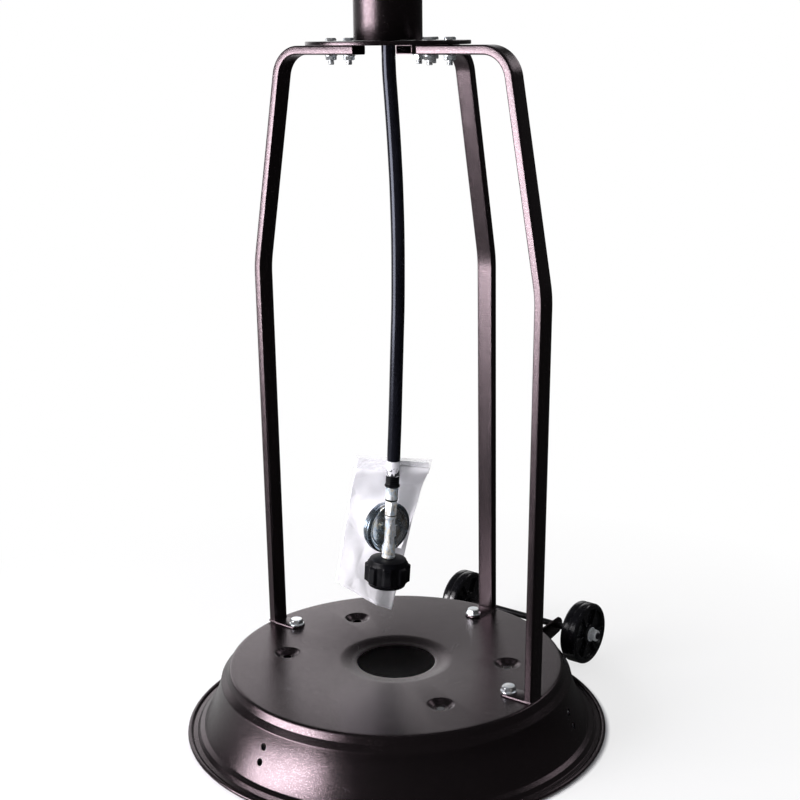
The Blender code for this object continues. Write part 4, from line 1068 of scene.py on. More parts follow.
@dataclass
class GasHose:
    """The gas hose's free stretch, from the flange down to its white sleeve."""

    radius: float = 0.007
    length: float = 0.42545
    spacing: float = 0.004
    route: tuple[Point, ...] = (
        (0.0002, 0.0, 0.7236), (0.0006, 0.0003, 0.699), (0.0022, 0.001, 0.672),
        (0.004, 0.0018, 0.6415), (0.0054, 0.0024, 0.6119), (0.0065, 0.0028, 0.582),
        (0.0073, 0.003, 0.5316), (0.0067, 0.0028, 0.4698), (0.0053, 0.0022, 0.428),
        (0.0037, 0.0014, 0.3855), (0.0021, 0.0006, 0.3425), (0.0007, 0.0001, 0.312),
        HOSE_END,
    )

    def centre_line(self) -> list[Vector]:
        """Return close points on the smooth curve through the route."""
        places = [Vector(place) for place in self.route]
        padded = [2 * places[0] - places[1], *places, 2 * places[-1] - places[-2]]
        line = []
        for first, second, third, fourth in zip(padded, padded[1:], padded[2:], padded[3:]):
            count = max(2, ceil((third - second).length / self.spacing))
            for index in range(count):
                share = index / count
                pull = (third - first) * share / 2
                square = (2 * first - 5 * second + 4 * third - fourth) * share**2 / 2
                cube = (3 * second - first - 3 * third + fourth) * share**3 / 2
                line.append(second + pull + square + cube)
        return [*line, places[-1]]

    def build(self) -> Piece:
        """Make the free stretch, and return it."""
        shape = Shape().tube(self.centre_line(), self.radius, 32)
        return make_piece(shape, "hose_free_stretch", HOSE_RUBBER, "gas_hose")

    def declare(self, hose: Piece, on_it: Sequence[Piece]) -> None:
        """Work out the hose's centre line, which is then not used.

        Args:
            hose: The free stretch; not used.
            on_it: The pieces on its end; not used.
        """
        line = self.centre_line()


@dataclass
class HangingLine:
    """The line below the hose on which its end and the regulator hang."""

    top: Point = HOSE_END
    tilt: float = radians(3.8)

    def at(self, along: float) -> Matrix:
        """Return the placement of a piece whose top is at a distance down the line."""
        down = Vector((-sin(self.tilt), 0, -cos(self.tilt)))
        return Matrix.Translation(Vector(self.top) + down * along) @ Matrix.Rotation(self.tilt, 4, "Y")


@dataclass
class HoseEnd:
    """The white sleeve, the crimped ferrule and the plated fitting with its seals."""

    line: HangingLine
    sleeve_drop: float = 0.0003
    sleeve_length: float = 0.0165
    sleeve_radius: float = 0.0075
    sleeve_edge: float = 0.0006
    sleeve_wave: float = 0.012
    ferrule_drop: float = 0.0171
    ferrule_length: float = 0.0122
    ferrule_radius: float = 0.0072
    flare_radius: float = 0.0081
    crimps: int = 3
    crimp_from: float = 0.002
    crimp_pitch: float = 0.0022
    crimp_depth: float = 0.0004
    fitting_drop: float = 0.0296
    fitting_length: float = 0.015
    fitting_radius: float = 0.0069
    neck_radius: float = 0.0047
    swivel_length: float = 0.016
    swivel_flats: float = 0.0122
    swivel_chamfer: float = 0.0012
    seal_radius: float = 0.0007
    fine_round: float = 0.0004

    def build_sleeve(self) -> Piece:
        """Make the shrink sleeve, a little wavy where it has shrunk, and return it."""
        edge, radius, foot = self.sleeve_edge, self.sleeve_radius, -self.sleeve_length
        corners = [
            (0, 0), (radius - edge, 0), (radius, -edge), (radius - edge / 3, foot / 2),
            (radius, foot + edge), (radius - edge, foot), (0, foot),
        ]
        shape = Shape().turned(
            rounded(corners, self.fine_round, 3), 48, self.line.at(self.sleeve_drop),
            swell=lambda azimuth, height: 1 - self.sleeve_wave * (1 + sin(3 * azimuth + 700 * height)) / 2,
        )
        return make_piece(shape, "hose_white_sleeve", SLEEVING, "hose_sleeve")

    def build_ferrule(self) -> Piece:
        """Make the crimped ferrule with its flared foot, and return it."""
        radius, flare, foot = self.ferrule_radius, self.flare_radius, -self.ferrule_length
        corners = [(0, 0), (radius - 0.0005, 0), (radius, -0.0006)]
        for index in range(self.crimps):
            top = -self.crimp_from - self.crimp_pitch * index
            depth = self.crimp_depth
            corners += [(radius, top), (radius - depth, top - depth), (radius, top - 2 * depth)]
        corners += [(radius, foot + 0.0034), (flare, foot + 0.0024), (flare, foot + 0.0011)]
        corners += [(radius, foot), (0, foot)]
        shape = Shape().turned(rounded(corners, self.fine_round, 3), 48, self.line.at(self.ferrule_drop))
        return make_piece(shape, "hose_black_ferrule", HANDLE_BLACK, "hose_ferrule")

    def build_fitting(self) -> list[Piece]:
        """Make the fitting's barrel and swivel nut and its two black seals, and return them."""
        radius, neck, end = self.fitting_radius, self.neck_radius, -self.fitting_length
        waist, thin = radius - 0.0004, neck + 0.0012
        barrel = [
            (0, 0), (thin, 0), (thin, -0.0009), (waist, -0.0009), (radius, -0.0016), (radius, -0.0024),
            (waist, -0.0027), (waist, end + 0.0038), (radius, end + 0.0034), (radius, end + 0.0022),
            (radius - 0.0006, end + 0.0018), (neck, end + 0.0018), (neck, end), (0, end),
        ]
        place = self.line.at(self.fitting_drop)
        shape = Shape().turned(rounded(barrel, 0.0003, 3), 48, place)
        swivel = self.line.at(self.fitting_drop + self.fitting_length + self.swivel_length)
        nut = hex_body(self.swivel_flats, self.swivel_length, self.swivel_chamfer, both_ends=True)
        shape.merge(nut, swivel)
        fitting = make_piece(shape, "hose_plated_fitting", ZINC, "hose_fitting")
        seals = []
        thick = self.seal_radius
        seats = ((end + 0.0009, neck + 0.0014), (end - self.swivel_length, 0.0058))
        for index, (drop, reach) in enumerate(seats):
            ring = [(reach + thick * cos(angle), thick * sin(angle)) for angle in circle_angles(12)]
            seal = Shape().turned(ring, 40, place @ raised(drop), closed=True)
            seals.append(make_piece(seal, f"fitting_seal_{index + 1}", SEAL_BLACK))
        return [fitting, *seals]

    def build(self) -> list[Piece]:
        """Make the whole hose end, and return its pieces."""
        return [self.build_sleeve(), self.build_ferrule(), *self.build_fitting()]


@dataclass
class Regulator:
    """The gas regulator: its cast stem, round case, rear cover with a vent, nipple and handwheel."""

    line: HangingLine
    stem_drop: float = 0.0609
    stem_radius: float = 0.0054
    stem_length: float = 0.0404
    collar_radius: float = 0.0072
    collar_length: float = 0.0145
    case_radius: float = 0.028
    case_depth: float = 0.008
    case_rim: float = 0.0042
    case_step: float = 0.0018
    case_dish: float = 0.0034
    case_yaw: float = radians(36)
    case_back: float = 0.009
    case_drop: float = 0.018
    boss_radius: float = 0.0085
    boss_height: float = 0.0135
    cover_radius: float = 0.027
    cover_depth: float = 0.0082
    crown_radius: float = 0.0155
    spindle_radius: float = 0.0046
    flange_radius: float = 0.0085
    flange_sheet: float = 0.003
    wheel_drop: float = 0.10885
    wheel_radius: float = 0.0246
    wheel_neck: float = 0.0202
    wheel_length: float = 0.031
    wheel_collar: float = 0.012
    wheel_mouth: float = 0.015
    wheel_grips: int = 8
    grip_root: float = 0.0016
    nipple_radius: float = 0.007
    nipple_length: float = 0.017

    def case_place(self) -> Matrix:
        """Return the placement of the case, whose own Z axis looks out of its front."""
        turn = Matrix.Rotation(self.case_yaw, 4, "Z") @ Matrix.Rotation(pi / 2, 4, "X")
        return self.line.at(self.stem_drop) @ Matrix.Translation((0, self.case_back, -self.case_drop)) @ turn

    def build_body(self) -> Piece:
        """Make the stem with its collar, the nipple and the round case, and return them as one casting."""
        bottom = -self.stem_length - self.collar_length / 2
        top = bottom + self.collar_length
        end = bottom - self.wheel_collar
        seat = end - self.flange_sheet
        stem, collar, nipple = self.stem_radius, self.collar_radius, self.nipple_radius
        groove, tip = collar - 0.0008, seat - self.nipple_length
        corners = [
            (0, 0), (stem + 0.0008, 0), (stem + 0.0008, -0.003), (stem, -0.004), (stem, top + 0.003),
            (collar - 0.0006, top), (collar, top - 0.001), (collar, bottom + 0.0046),
            (groove, bottom + 0.004), (groove, bottom + 0.003), (collar, bottom + 0.0024),
            (collar, bottom + 0.0006), (collar - 0.0006, bottom), (self.spindle_radius, bottom),
            (self.spindle_radius, end), (self.flange_radius, end), (self.flange_radius, seat),
            (nipple, seat), (nipple, seat - self.nipple_length / 2), (nipple / 2, tip), (0, tip),
        ]
        place = self.line.at(self.stem_drop)
        shape = Shape().turned(rounded(corners, 0.0005, 3), 40, place)
        rib = Matrix.Translation((0, -stem + 0.0006, (top - 0.006) / 2))
        shape.block((0.0026, 0.0028, -top - 0.011), place @ rib, 0.0008)
        shape.merge(self.case_shape(), self.case_place())
        top = self.boss_height
        boss = [(0, 0), (self.boss_radius, 0), (self.boss_radius - 0.0018, top), (0, top)]
        shape.turned(rounded(boss, 0.0012, 3), 32, self.case_place() @ raised(-self.case_dish))
        return make_piece(shape, "regulator_casting", ZINC, "regulator_body")

    def case_shape(self) -> Shape:
        """Return the case: a rolled rim, a groove, a flat ring and a dished face."""
        ring = self.case_radius - self.case_rim
        dish = ring - 2 * self.case_step
        step, depth, radius = self.case_step, self.case_depth, self.case_radius
        corners = [
            (0, -self.case_dish + 0.0009), (dish * 0.55, -self.case_dish), (dish, -self.case_dish),
            (dish + step, -step), (ring, -step), (ring, 0), (radius - step, 0), (radius, -step),
            (radius, -depth * 0.52), (radius - 0.0009, -depth * 0.56), (radius - 0.0009, -depth * 0.64),
            (radius, -depth * 0.68), (radius, -depth + 0.0008), (radius - 0.0008, -depth), (0, -depth),
        ]
        return Shape().turned(rounded(corners, 0.0009, 4), 96)

    def build_cover(self) -> Piece:
        """Make the domed rear cover with its crimped rim and vent, and return it."""
        radius, depth = self.cover_radius, self.cover_depth
        corners = [
            (0, depth), (self.crown_radius, depth), (radius - 0.0045, 0.0044), (radius - 0.002, 0.004),
            (radius, 0.0026), (radius, 0.0), (0, 0),
        ]
        place = self.case_place() @ raised(-self.case_depth - SEAT_GAP) @ Matrix.Rotation(pi, 4, "X")
        shape = Shape().turned(rounded(corners, 0.0016, 4), 96, place)
        vent = [(0, 0.004), (0.0022, 0.004), (0.003, 0.0034), (0.003, -0.0004), (0, -0.0004)]
        seat = Matrix.Translation((0, self.crown_radius / 2, depth))
        shape.turned(rounded(vent, 0.0004, 2), 24, place @ seat)
        return make_piece(shape, "regulator_rear_cover", ZINC, "regulator_cover")

    def lobes(self, azimuth: float, height: float) -> float:
        """Return how far the handwheel's grips swell its radius.

        Args:
            azimuth: The azimuth on the handwheel.
            height: The height on it, which is negative.

        Returns:
            The factor on its radius.
        """
        length, ease = self.wheel_length, self.grip_root
        low = smooth_step((height + 0.86 * length) / ease)
        high = smooth_step((-0.2 * length - height) / ease)
        wave = smooth_step(0.5 + 1.15 * cos(self.wheel_grips * azimuth))
        return 1 + (self.wheel_radius / (self.wheel_neck + self.grip_root) - 1) * wave * min(low, high)

    def build_handwheel(self) -> Piece:
        """Make the black handwheel with its grips, and return it."""
        length, neck = self.wheel_length, self.wheel_neck
        body = neck + self.grip_root
        bore, mouth = self.spindle_radius + 0.001, self.wheel_mouth
        corners = [(bore, 0), (neck - 0.005, 0), (neck - 0.0006, -0.0014), (neck, -0.003)]
        corners += [(body, -0.0052 - (length - 0.01) * share) for share in shares(15)]
        corners += [
            (neck, -length + 0.0036), (neck - 0.0004, -length + 0.0006), (neck - 0.0012, -length),
            (mouth + 0.0006, -length), (mouth, -length + 0.0008), (mouth, -length + 0.006),
            (self.flange_radius + 0.0008, -self.wheel_collar - 0.0016), (bore, -self.wheel_collar - 0.0004),
        ]
        place = self.line.at(self.wheel_drop)
        shape = Shape().turned(corners, 192, place, closed=True, swell=self.lobes)
        return make_piece(
            shape, "regulator_black_handwheel", HANDLE_BLACK, "regulator_handwheel", Body.HANDWHEEL, 40.0
        )

    def build(self) -> list[Piece]:
        """Make the whole regulator, and return its pieces."""
        return [self.build_body(), self.build_cover(), self.build_handwheel()]


@dataclass
class Leaflet:
    """The blank leaflet behind the regulator: a creased sheet, a short front leaf and clear film on top."""

    top: Point = HOSE_END
    corners: tuple[Flat, ...] = (
        (-0.0392, 0.0009), (0.0377, -0.0056), (-0.0045, -0.192), (-0.0662, -0.1512),
    )
    start: float = 0.0082
    bulge: float = 0.034
    straight: float = 0.0165
    bend: float = 0.045
    side_fold: float = 0.012
    wave: float = 0.003
    ripple: float = 0.001
    leaf_front: float = 0.0016
    leaf_curl: float = 0.012
    film_front: float = 0.0008
    sheet: float = 0.00012
    steps: int = 40

    def back_of(self, drop: float) -> float:
        """Return how far behind the hose the sheet is at a drop below the hose's end."""
        share = min(1.0, max(0.0, (drop - self.straight) / self.bend))
        return self.start + self.bulge * sin(share * pi / 2)

    def flat_place(self, across: float, down: float) -> Vector:
        """Return a place on the flat leaflet by its shares, as x and z from the hose's end."""
        top_left, top_right, low_right, low_left = (Vector(corner) for corner in self.corners)
        return top_left.lerp(low_left, down).lerp(top_right.lerp(low_right, down), across)

    def sheet_place(self, across: float, down: float, front: float = 0.0) -> Vector:
        """Return a place on the creased sheet.

        Args:
            across: The share from its left edge to its right edge.
            down: The share from its top edge to its bottom edge.
            front: How far in front of the sheet.

        Returns:
            The place.
        """
        flat = self.flat_place(across, down)
        back = self.back_of(-flat.y) - front
        back += self.side_fold * smooth_step((across - 0.66) / 0.34) * smooth_step(down / 0.25)
        free = smooth_step(down / 0.15)
        back += self.wave * free * noise.noise(Vector((across * 2.2, down * 3.6, 3.1)))
        back += self.ripple * free * noise.noise(Vector((across * 7.0, down * 9.0, 8.7)))
        return Vector(self.top) + Vector((flat.x, back, flat.y))

    def grid(self, across: Flat, down: Flat, front: float, curl: float = 0.0) -> Shape:
        """Return a leaf as a thin grid.

        Args:
            across: Its first and last share across.
            down: Its first and last share down.
            front: How far in front of the sheet it lies.
            curl: How far its lower right corner comes forward.

        Returns:
            The leaf.
        """
        rows = []
        for row in shares(self.steps):
            fall = down[0] + (down[1] - down[0]) * row
            line = []
            for column in shares(self.steps):
                place = self.sheet_place(across[0] + (across[1] - across[0]) * column, fall, front)
                lift = smooth_step((column + row - 1.45) / 0.55) * curl
                line.append(place + Vector((-0.5 * lift, -lift, 0.3 * lift)))
            rows.append(line)
        return Shape().loft(rows, open_rows=True)

    def build(self) -> list[Piece]:
        """Make the leaves and the film, and return them."""
        whole = self.grid((0, 1), (0, 1), 0.0)
        short = self.grid((0.52, 1.02), (0.03, 0.6), self.leaf_front, self.leaf_curl)
        round_top = self.grid((-0.02, 1.03), (-0.02, 0.075), self.film_front)
        sheet = make_piece(whole, "leaflet_sheet", PAPER, "instruction_leaflet", crease=60)
        leaf = make_piece(short, "leaflet_front_leaf", PAPER, crease=60)
        film = make_piece(round_top, "leaflet_film", FILM, crease=60)
        for piece in (sheet, leaf, film):
            body = piece.modifiers.new("thickness", "SOLIDIFY")
            body.thickness = self.sheet
            body.offset = 0
        return [sheet, leaf, film]

    def declare(self, sheet: Piece, leaf: Piece, film: Piece) -> None:
        """Take the leaflet's pieces and do nothing with them.

        Args:
            sheet: The leaflet's sheet; not used.
            leaf: Its short front leaf; not used.
            film: The film round its top; not used.
        """


# Fasteners


def hex_body(flats: float, height: float, chamfer: float, both_ends: bool = False) -> Shape:
    """Return a hexagonal body that stands on Z = 0, with the curved chamfers of a turned blank.

    Args:
        flats: Its width over flats.
        height: Its height.
        chamfer: How far the chamfer falls at the corners.
        both_ends: Whether the lower end is chamfered too.

    Returns:
        The body.
    """
    corner = flats / sqrt(3)
    inner = 0.94 * flats / 2
    slope = chamfer / (corner - inner)

    def reach(azimuth: float, level: float) -> float:
        """Return the body's radius at an azimuth and height."""
        turn = (azimuth + pi / 6) % (pi / 3) - pi / 6
        hexagon = flats / 2 / cos(turn)
        limits = [hexagon, inner + (height - level) / slope]
        if both_ends:
            limits.append(inner + level / slope)
        return min(limits)

    falls = [chamfer * share for share in shares(6)]
    levels = falls if both_ends else [0.0]
    levels = levels + [height - fall for fall in reversed(falls)]
    rings = [[polar(0.0, angle, levels[0]) for angle in circle_angles(60)]]
    rings += [[polar(reach(angle, level), angle, level) for angle in circle_angles(60)] for level in levels]
    rings.append([polar(0.0, angle, height + 0.02 * flats) for angle in circle_angles(60)])
    return Shape().loft(rings)


def thread_body(radius: float, length: float, pitch: float) -> Shape:
    """Return a threaded rod that hangs below Z = 0, with a chamfered end.

    Args:
        radius: The thread's outer radius.
        length: The rod's length.
        pitch: The distance between turns.

    Returns:
        The rod.
    """
    rings = []
    per_turn = 4
    for level in [length * share for share in shares(ceil(length / pitch * per_turn))]:
        ring = []
        for angle in circle_angles(20):
            phase = (level / pitch + angle / tau) % 1.0
            depth = 0.3 * pitch * abs(2 * phase - 1)
            taper = max(0.0, 0.6 * pitch - (length - level))
            ring.append(polar(radius - max(depth, taper), angle, -level))
        rings.append(ring)
    return Shape().loft(rings, lids=True)


@dataclass(frozen=True)
class HexBolt:
    """A hexagon bolt: its head sits on Z = 0, over a washer if it has one, and its thread hangs below."""

    radius: float
    flats: float
    head: float
    length: float
    washer_radius: float = 0.0
    washer_sheet: float = 0.0
    pitch: float = 0.00125

    def shape(self) -> Shape:
        """Return the bolt's faces about its own axis."""
        whole = Shape().merge(hex_body(self.flats, self.head, 0.3 * self.head), raised(self.washer_sheet))
        if self.washer_sheet:
            washer = ring_section(self.radius, self.washer_radius, 0, self.washer_sheet)
            whole.turned(rounded(washer, 0.25 * self.washer_sheet, 2), 40)
        return whole.merge(thread_body(self.radius, self.length, self.pitch))


@dataclass(frozen=True)
class HexNut:
    """A flanged hexagon nut that hangs below Z = 0."""

    radius: float
    flats: float
    height: float
    flange_radius: float
    flange_sheet: float = 0.0009

    def shape(self) -> Shape:
        """Return the nut's faces about its own axis."""
        body = hex_body(self.flats, self.height, 0.18 * self.height, both_ends=True)
        flange = ring_section(self.radius, self.flange_radius, -self.flange_sheet, 0)
        return Shape().merge(body, raised(-self.height)).turned(rounded(flange, 0.0002, 2), 40)


FOOT_BOLT = HexBolt(
    radius=0.004, flats=0.013, head=0.0052, length=0.0147, washer_radius=0.0085, washer_sheet=0.0012
)
FOOT_NUT = HexNut(radius=0.004, flats=0.013, height=0.0065, flange_radius=0.0075)
FLANGE_BOLT = HexBolt(radius=0.003, flats=0.01, head=0.0028, length=0.0236, pitch=0.001)
FLANGE_NUT = HexNut(radius=0.003, flats=0.01, height=0.005, flange_radius=0.0064)
BRACKET_SCREW = HexBolt(radius=0.0024, flats=0.008, head=0.0035, length=0.01, pitch=0.0008)


# Base, legs and flange


@dataclass
class BaseDish:
    """The spun base dish: recess, shoulder, hollow flank, rolled edge, dimples and holes."""

    radius: float = 0.2286
    height: float = 0.0731
    flat_radius: float = 0.1755
    sheet: float = 0.0012
    hole_radius: float = 0.0425
    recess_radius: float = 0.0612
    recess_depth: float = 0.0032
    recess_lip: float = 0.0016
    shoulder: Flat = (0.1808, 0.0731)
    band_foot: Flat = (0.1844, 0.0648)
    flank_top: Flat = (0.1905, 0.0589)
    flank_foot: Flat = (0.2102, 0.0105)
    flank_hollow: float = 0.0022
    shoulder_bends: tuple[float, ...] = (0.0036, 0.0012, 0.0022)
    edge_corners: tuple[Flat, ...] = ((0.2151, 0.008), (0.2183, 0.0038), (0.2227, 0.0034), (0.2234, 0.0016))
    edge_bends: tuple[float, ...] = (0.0014, 0.0011, 0.0011, 0.0005, 0.0003)
    bead: float = 0.0024
    dimple_circle: float = 0.1215
    dimple_lip: float = 0.015
    dimple_floor: float = 0.0066
    dimple_depth: float = 0.0044
    dimple_hole: float = 0.0044
    dimple_turns: tuple[float, ...] = (60, 120, -60, -120)
    spare_hole: float = 0.0038
    spare_heights: Flat = (0.043, 0.0285)
    spare_turns: Flat = (-74.1, 174.9)
    bolt_circle: float = 0.1468
    bolt_hole: float = 0.0043
    cut_reach: float = 0.006
    steps: int = 192

    def flank_line(self, count: int = 10) -> Profile:
        """Return the hollow flank's points as (radius, height), top first."""
        top, foot = Vector(self.flank_top), Vector(self.flank_foot)
        line = []
        for share in shares(count):
            place = top.lerp(foot, share)
            line.append((place.x - 4 * self.flank_hollow * share * (1 - share), place.y))
        return line

    def flank_at(self, height: float) -> tuple[float, float]:
        """Return where the flank is.

        Args:
            height: The height on it.

        Returns:
            Its radius and how far it leans back there.
        """
        line = self.flank_line(24)
        for upper, lower in zip(line, line[1:]):
            if lower[1] <= height <= upper[1]:
                break
        share = (upper[1] - height) / (upper[1] - lower[1])
        lean = atan2(lower[0] - upper[0], upper[1] - lower[1])
        return upper[0] + (lower[0] - upper[0]) * share, lean

    def square_to_flank(self, azimuth: float, height: float, out: float = 0.0) -> Matrix:
        """Return the placement square to the flank.

        Args:
            azimuth: The azimuth on it.
            height: The height on it.
            out: The distance out from it.

        Returns:
            The placement.
        """
        radius, lean = self.flank_at(height)
        way = polar(cos(lean), azimuth, sin(lean))
        return facing(polar(radius, azimuth, height) + way * out, way)

    def upper_line(self) -> Profile:
        """Return the dish's upper face from its hole to the rolled edge."""
        inner, outer = self.hole_radius + self.recess_lip, self.recess_radius + self.recess_lip
        line = [(self.hole_radius, self.height - self.recess_depth - 0.0006)]
        for share in shares(10):
            rise = 0.35 * share + 0.65 * smooth_step(share)
            line.append((inner + (outer - inner) * share, self.height - self.recess_depth * (1 - rise)))
        flank = self.flank_line()
        bead = arc((self.radius - self.bead, self.bead + 0.0002), self.bead, 150, -110, 22)
        band = [(self.flat_radius, self.height), self.shoulder, self.band_foot, self.flank_top, flank[1]]
        edge = [flank[-2], flank[-1], *self.edge_corners, bead[0]]
        line += rounded(band, self.shoulder_bends, 6) + flank[2:-2]
        return line + rounded(edge, self.edge_bends, 4) + bead[1:]

    def dimple_place(self, turn: float) -> Matrix:
        """Return the placement of a dimple at a turn in degrees from the rear leg."""
        return upright(polar(self.dimple_circle, REAR + radians(turn), self.height))

    def cutters(self) -> Shape:
        """Return the solids that make the dish's holes."""
        shape = Shape()
        for turn in self.dimple_turns:
            shape.turned(pin_section(self.dimple_lip, self.cut_reach), 48, self.dimple_place(turn))
        for side in Side:
            place = upright(polar(self.bolt_circle, side.azimuth, self.height))
            shape.turned(pin_section(self.bolt_hole, self.cut_reach), 24, place)
        for turn in self.spare_turns:
            for height in self.spare_heights:
                place = self.square_to_flank(REAR + radians(turn), height)
                shape.turned(pin_section(self.spare_hole, self.cut_reach), 32, place)
        return shape

    def dimple(self) -> Shape:
        """Return one pressed dimple with its hole, about its own axis at the dish's top."""
        line = []
        for share in shares(12):
            radius = self.dimple_lip + (self.dimple_floor - self.dimple_lip) * share
            line.append((radius, -self.dimple_depth * smooth_step(share)))
        line += [(self.dimple_hole + 0.0006, -self.dimple_depth)]
        line += [(self.dimple_hole, -self.dimple_depth - 0.0004)]
        return Shape().turned(sheet_loop(line, -self.sheet), 48, closed=True)

    def build(self) -> None:
        """Make the dish."""
        shape = Shape().turned(sheet_loop(self.upper_line(), self.sheet), self.steps, closed=True)
        shape = shape.pierced(self.cutters())
        for turn in self.dimple_turns:
            shape.merge(self.dimple(), self.dimple_place(turn))
        make_piece(shape, "spun_base_dish", POWDER, "base_dish", crease=40.0)


@dataclass
class BentLeg:
    """A leg: a rectangular tube bent twice, with its foot tab and the bolts and nuts that hold it."""

    side: Side
    dish: BaseDish
    depth: float = 0.0092
    width: float = 0.0202
    wall: float = 0.0008
    edge: float = 0.0017
    foot_radius: float = 0.1757
    knee: Flat = (0.1801, 0.4915)
    lean_share: float = 0.18
    end_radius: float = 0.038
    run_height: float = 0.719
    bends: Flat = (0.03, 0.12)
    foot_height: float = 0.0746
    inside_rings: int = 14
    tab_sheet: float = 0.0016
    tab_inner: float = 0.1392
    tab_inset: float = 0.0006
    tab_bends: tuple[float, ...] = (0.0012, 0.0012, 0.008, 0.008)
    weld: tuple[float, ...] = (0.0008, 0.0011, 0.0009, 0.0011, 0.0009, 0.0011, 0.001, 0.0012, 0.0012)
    flange_top: float = 0.7279
    flange_circles: Flat = (0.0505, 0.0745)

    def at(self, radius: float, height: float) -> Vector:
        """Return the point in the leg's own plane at a radius and height."""
        return polar(radius, self.side.azimuth, height)

    def across(self, distance: float) -> Vector:
        """Return the level step to the leg's left."""
        return polar(distance, self.side.azimuth + pi / 2)

    def centre_line(self) -> Profile:
        """Return the tube's middle as (radius, height), top end first, its bends rounded."""
        rise = (self.run_height - self.dish.height) / (self.knee[1] - self.dish.height)
        lean = (self.run_height - self.knee[1]) * self.lean_share
        top = self.side.splay * rise
        corners = [
            (self.end_radius + top, self.run_height), (self.knee[0] + top - lean, self.run_height),
            (self.knee[0] + self.side.splay, self.knee[1]), (self.foot_radius, self.foot_height),
        ]
        return rounded(corners, self.bends, 16)

    def section(self, inset: float, crush: float) -> Profile:
        """Return the tube's outline as (out of the bend, sideways).

        Args:
            inset: How far inside the outer face.
            crush: How much the bend has flattened it, from 0 to 1.

        Returns:
            The outline.
        """
        half_depth = self.depth / 2 * (1 - 0.05 * crush) - inset
        half_width = self.width / 2 * (1 + 0.02 * crush) - inset
        edge = max(0.0004, self.edge - inset)
        points = []
        for turn, across, along in ((0, 1, 1), (90, -1, 1), (180, -1, -1), (270, 1, -1)):
            centre = (across * (half_depth - edge), along * (half_width - edge))
            points += arc(centre, edge, turn, turn + 90, 4)
            if turn == 90:
                for share in (0.5, 0.0, -0.5):
                    dent = 0.0012 * crush * (1 - share * share * 3)
                    points.append((-half_depth + max(0.0, dent), half_width * share))
            if turn == 270:
                points += [(half_depth, half_width * share) for share in (-0.5, 0.0, 0.5)]
        return points

    def tube_shape(self) -> Shape:
        """Return the tube, hollow as far as its open top end shows."""
        line = [Vector(point) for point in self.centre_line()]
        outer, inner = [], []
        for index, point in enumerate(line):
            before = (point - line[index - 1]).normalized() if index else (line[1] - point).normalized()
            after = (line[index + 1] - point).normalized() if index < len(line) - 1 else before
            way = (before + after).normalized()
            out = Vector((-way.y, way.x))
            crush = sin(pi * min(1.0, max(0.0, (index - 1) / 16))) ** 2
            for rings, inset in ((outer, 0.0), (inner, self.wall)):
                ring = []
                for across, along in self.section(inset, crush):
                    place = point + out * across
                    ring.append(self.at(place.x, place.y) + self.across(along))
                rings.append(ring)
        return Shape().loft(outer[::-1] + inner[: self.inside_rings], lids=True)

    def build_tube(self) -> None:
        """Make the tube with its foot tab and the welds between them."""
        shape = self.tube_shape()
        inner, outer = self.tab_inner, self.foot_radius + self.depth / 2 - self.tab_inset
        long, wide = (outer - inner) / 2, self.width / 2
        foot = self.dish.height + SEAT_GAP + self.tab_sheet
        middle = self.at((inner + outer) / 2, foot - self.tab_sheet / 2)
        corners = [(long, -wide), (long, wide), (-long, wide), (-long, -wide)]
        tab = rounded_loop((0, -wide), corners, self.tab_bends, 6)
        shape.plate(tab, self.tab_sheet, upright(middle, self.side.azimuth), 0.0003)
        for along in (-wide, wide):
            start = self.at(self.foot_radius - self.depth / 2, foot) + self.across(0.9 * along)
            stop = self.at(self.foot_radius + self.depth / 2, foot) + self.across(0.98 * along)
            shape.tube([start.lerp(stop, share) for share in shares(len(self.weld) - 1)], self.weld, 10)
        label = self.side.label
        make_piece(shape, f"bent_leg_{label}", POWDER, f"leg_{label}", crease=50.0)

    def fix(self, fastener: HexBolt | HexNut, radius: float, height: float, name: str, node: str) -> None:
        """Make a bolt or nut upright at a radius and height."""
        shape = Shape().merge(fastener.shape(), upright(self.at(radius, height), self.side.azimuth))
        make_piece(shape, name, BOLT_ZINC, node)

    def build_fasteners(self) -> None:
        """Make the foot bolt and the two flange bolts with their nuts."""
        label, dish = self.side.label, self.dish
        over, under = dish.height + 2 * SEAT_GAP + self.tab_sheet, dish.height - dish.sheet - SEAT_GAP
        self.fix(FOOT_BOLT, dish.bolt_circle, over, f"leg_foot_bolt_{label}", f"foot_bolt_{label}")
        self.fix(FOOT_NUT, dish.bolt_circle, under, f"leg_foot_nut_{label}", f"foot_nut_{label}")
        over, under = self.flange_top + SEAT_GAP, self.run_height - self.depth / 2 - SEAT_GAP
        for row, radius in zip(("inner", "outer"), self.flange_circles):
            end = f"{label}_{row}"
            self.fix(FLANGE_BOLT, radius, over, f"leg_top_bolt_{end}", f"flange_bolt_{end}")
            self.fix(FLANGE_NUT, radius, under, f"leg_top_nut_{end}", f"flange_nut_{end}")

    def build(self) -> None:
        """Make the leg and its fasteners."""
        self.build_tube()
        self.build_fasteners()


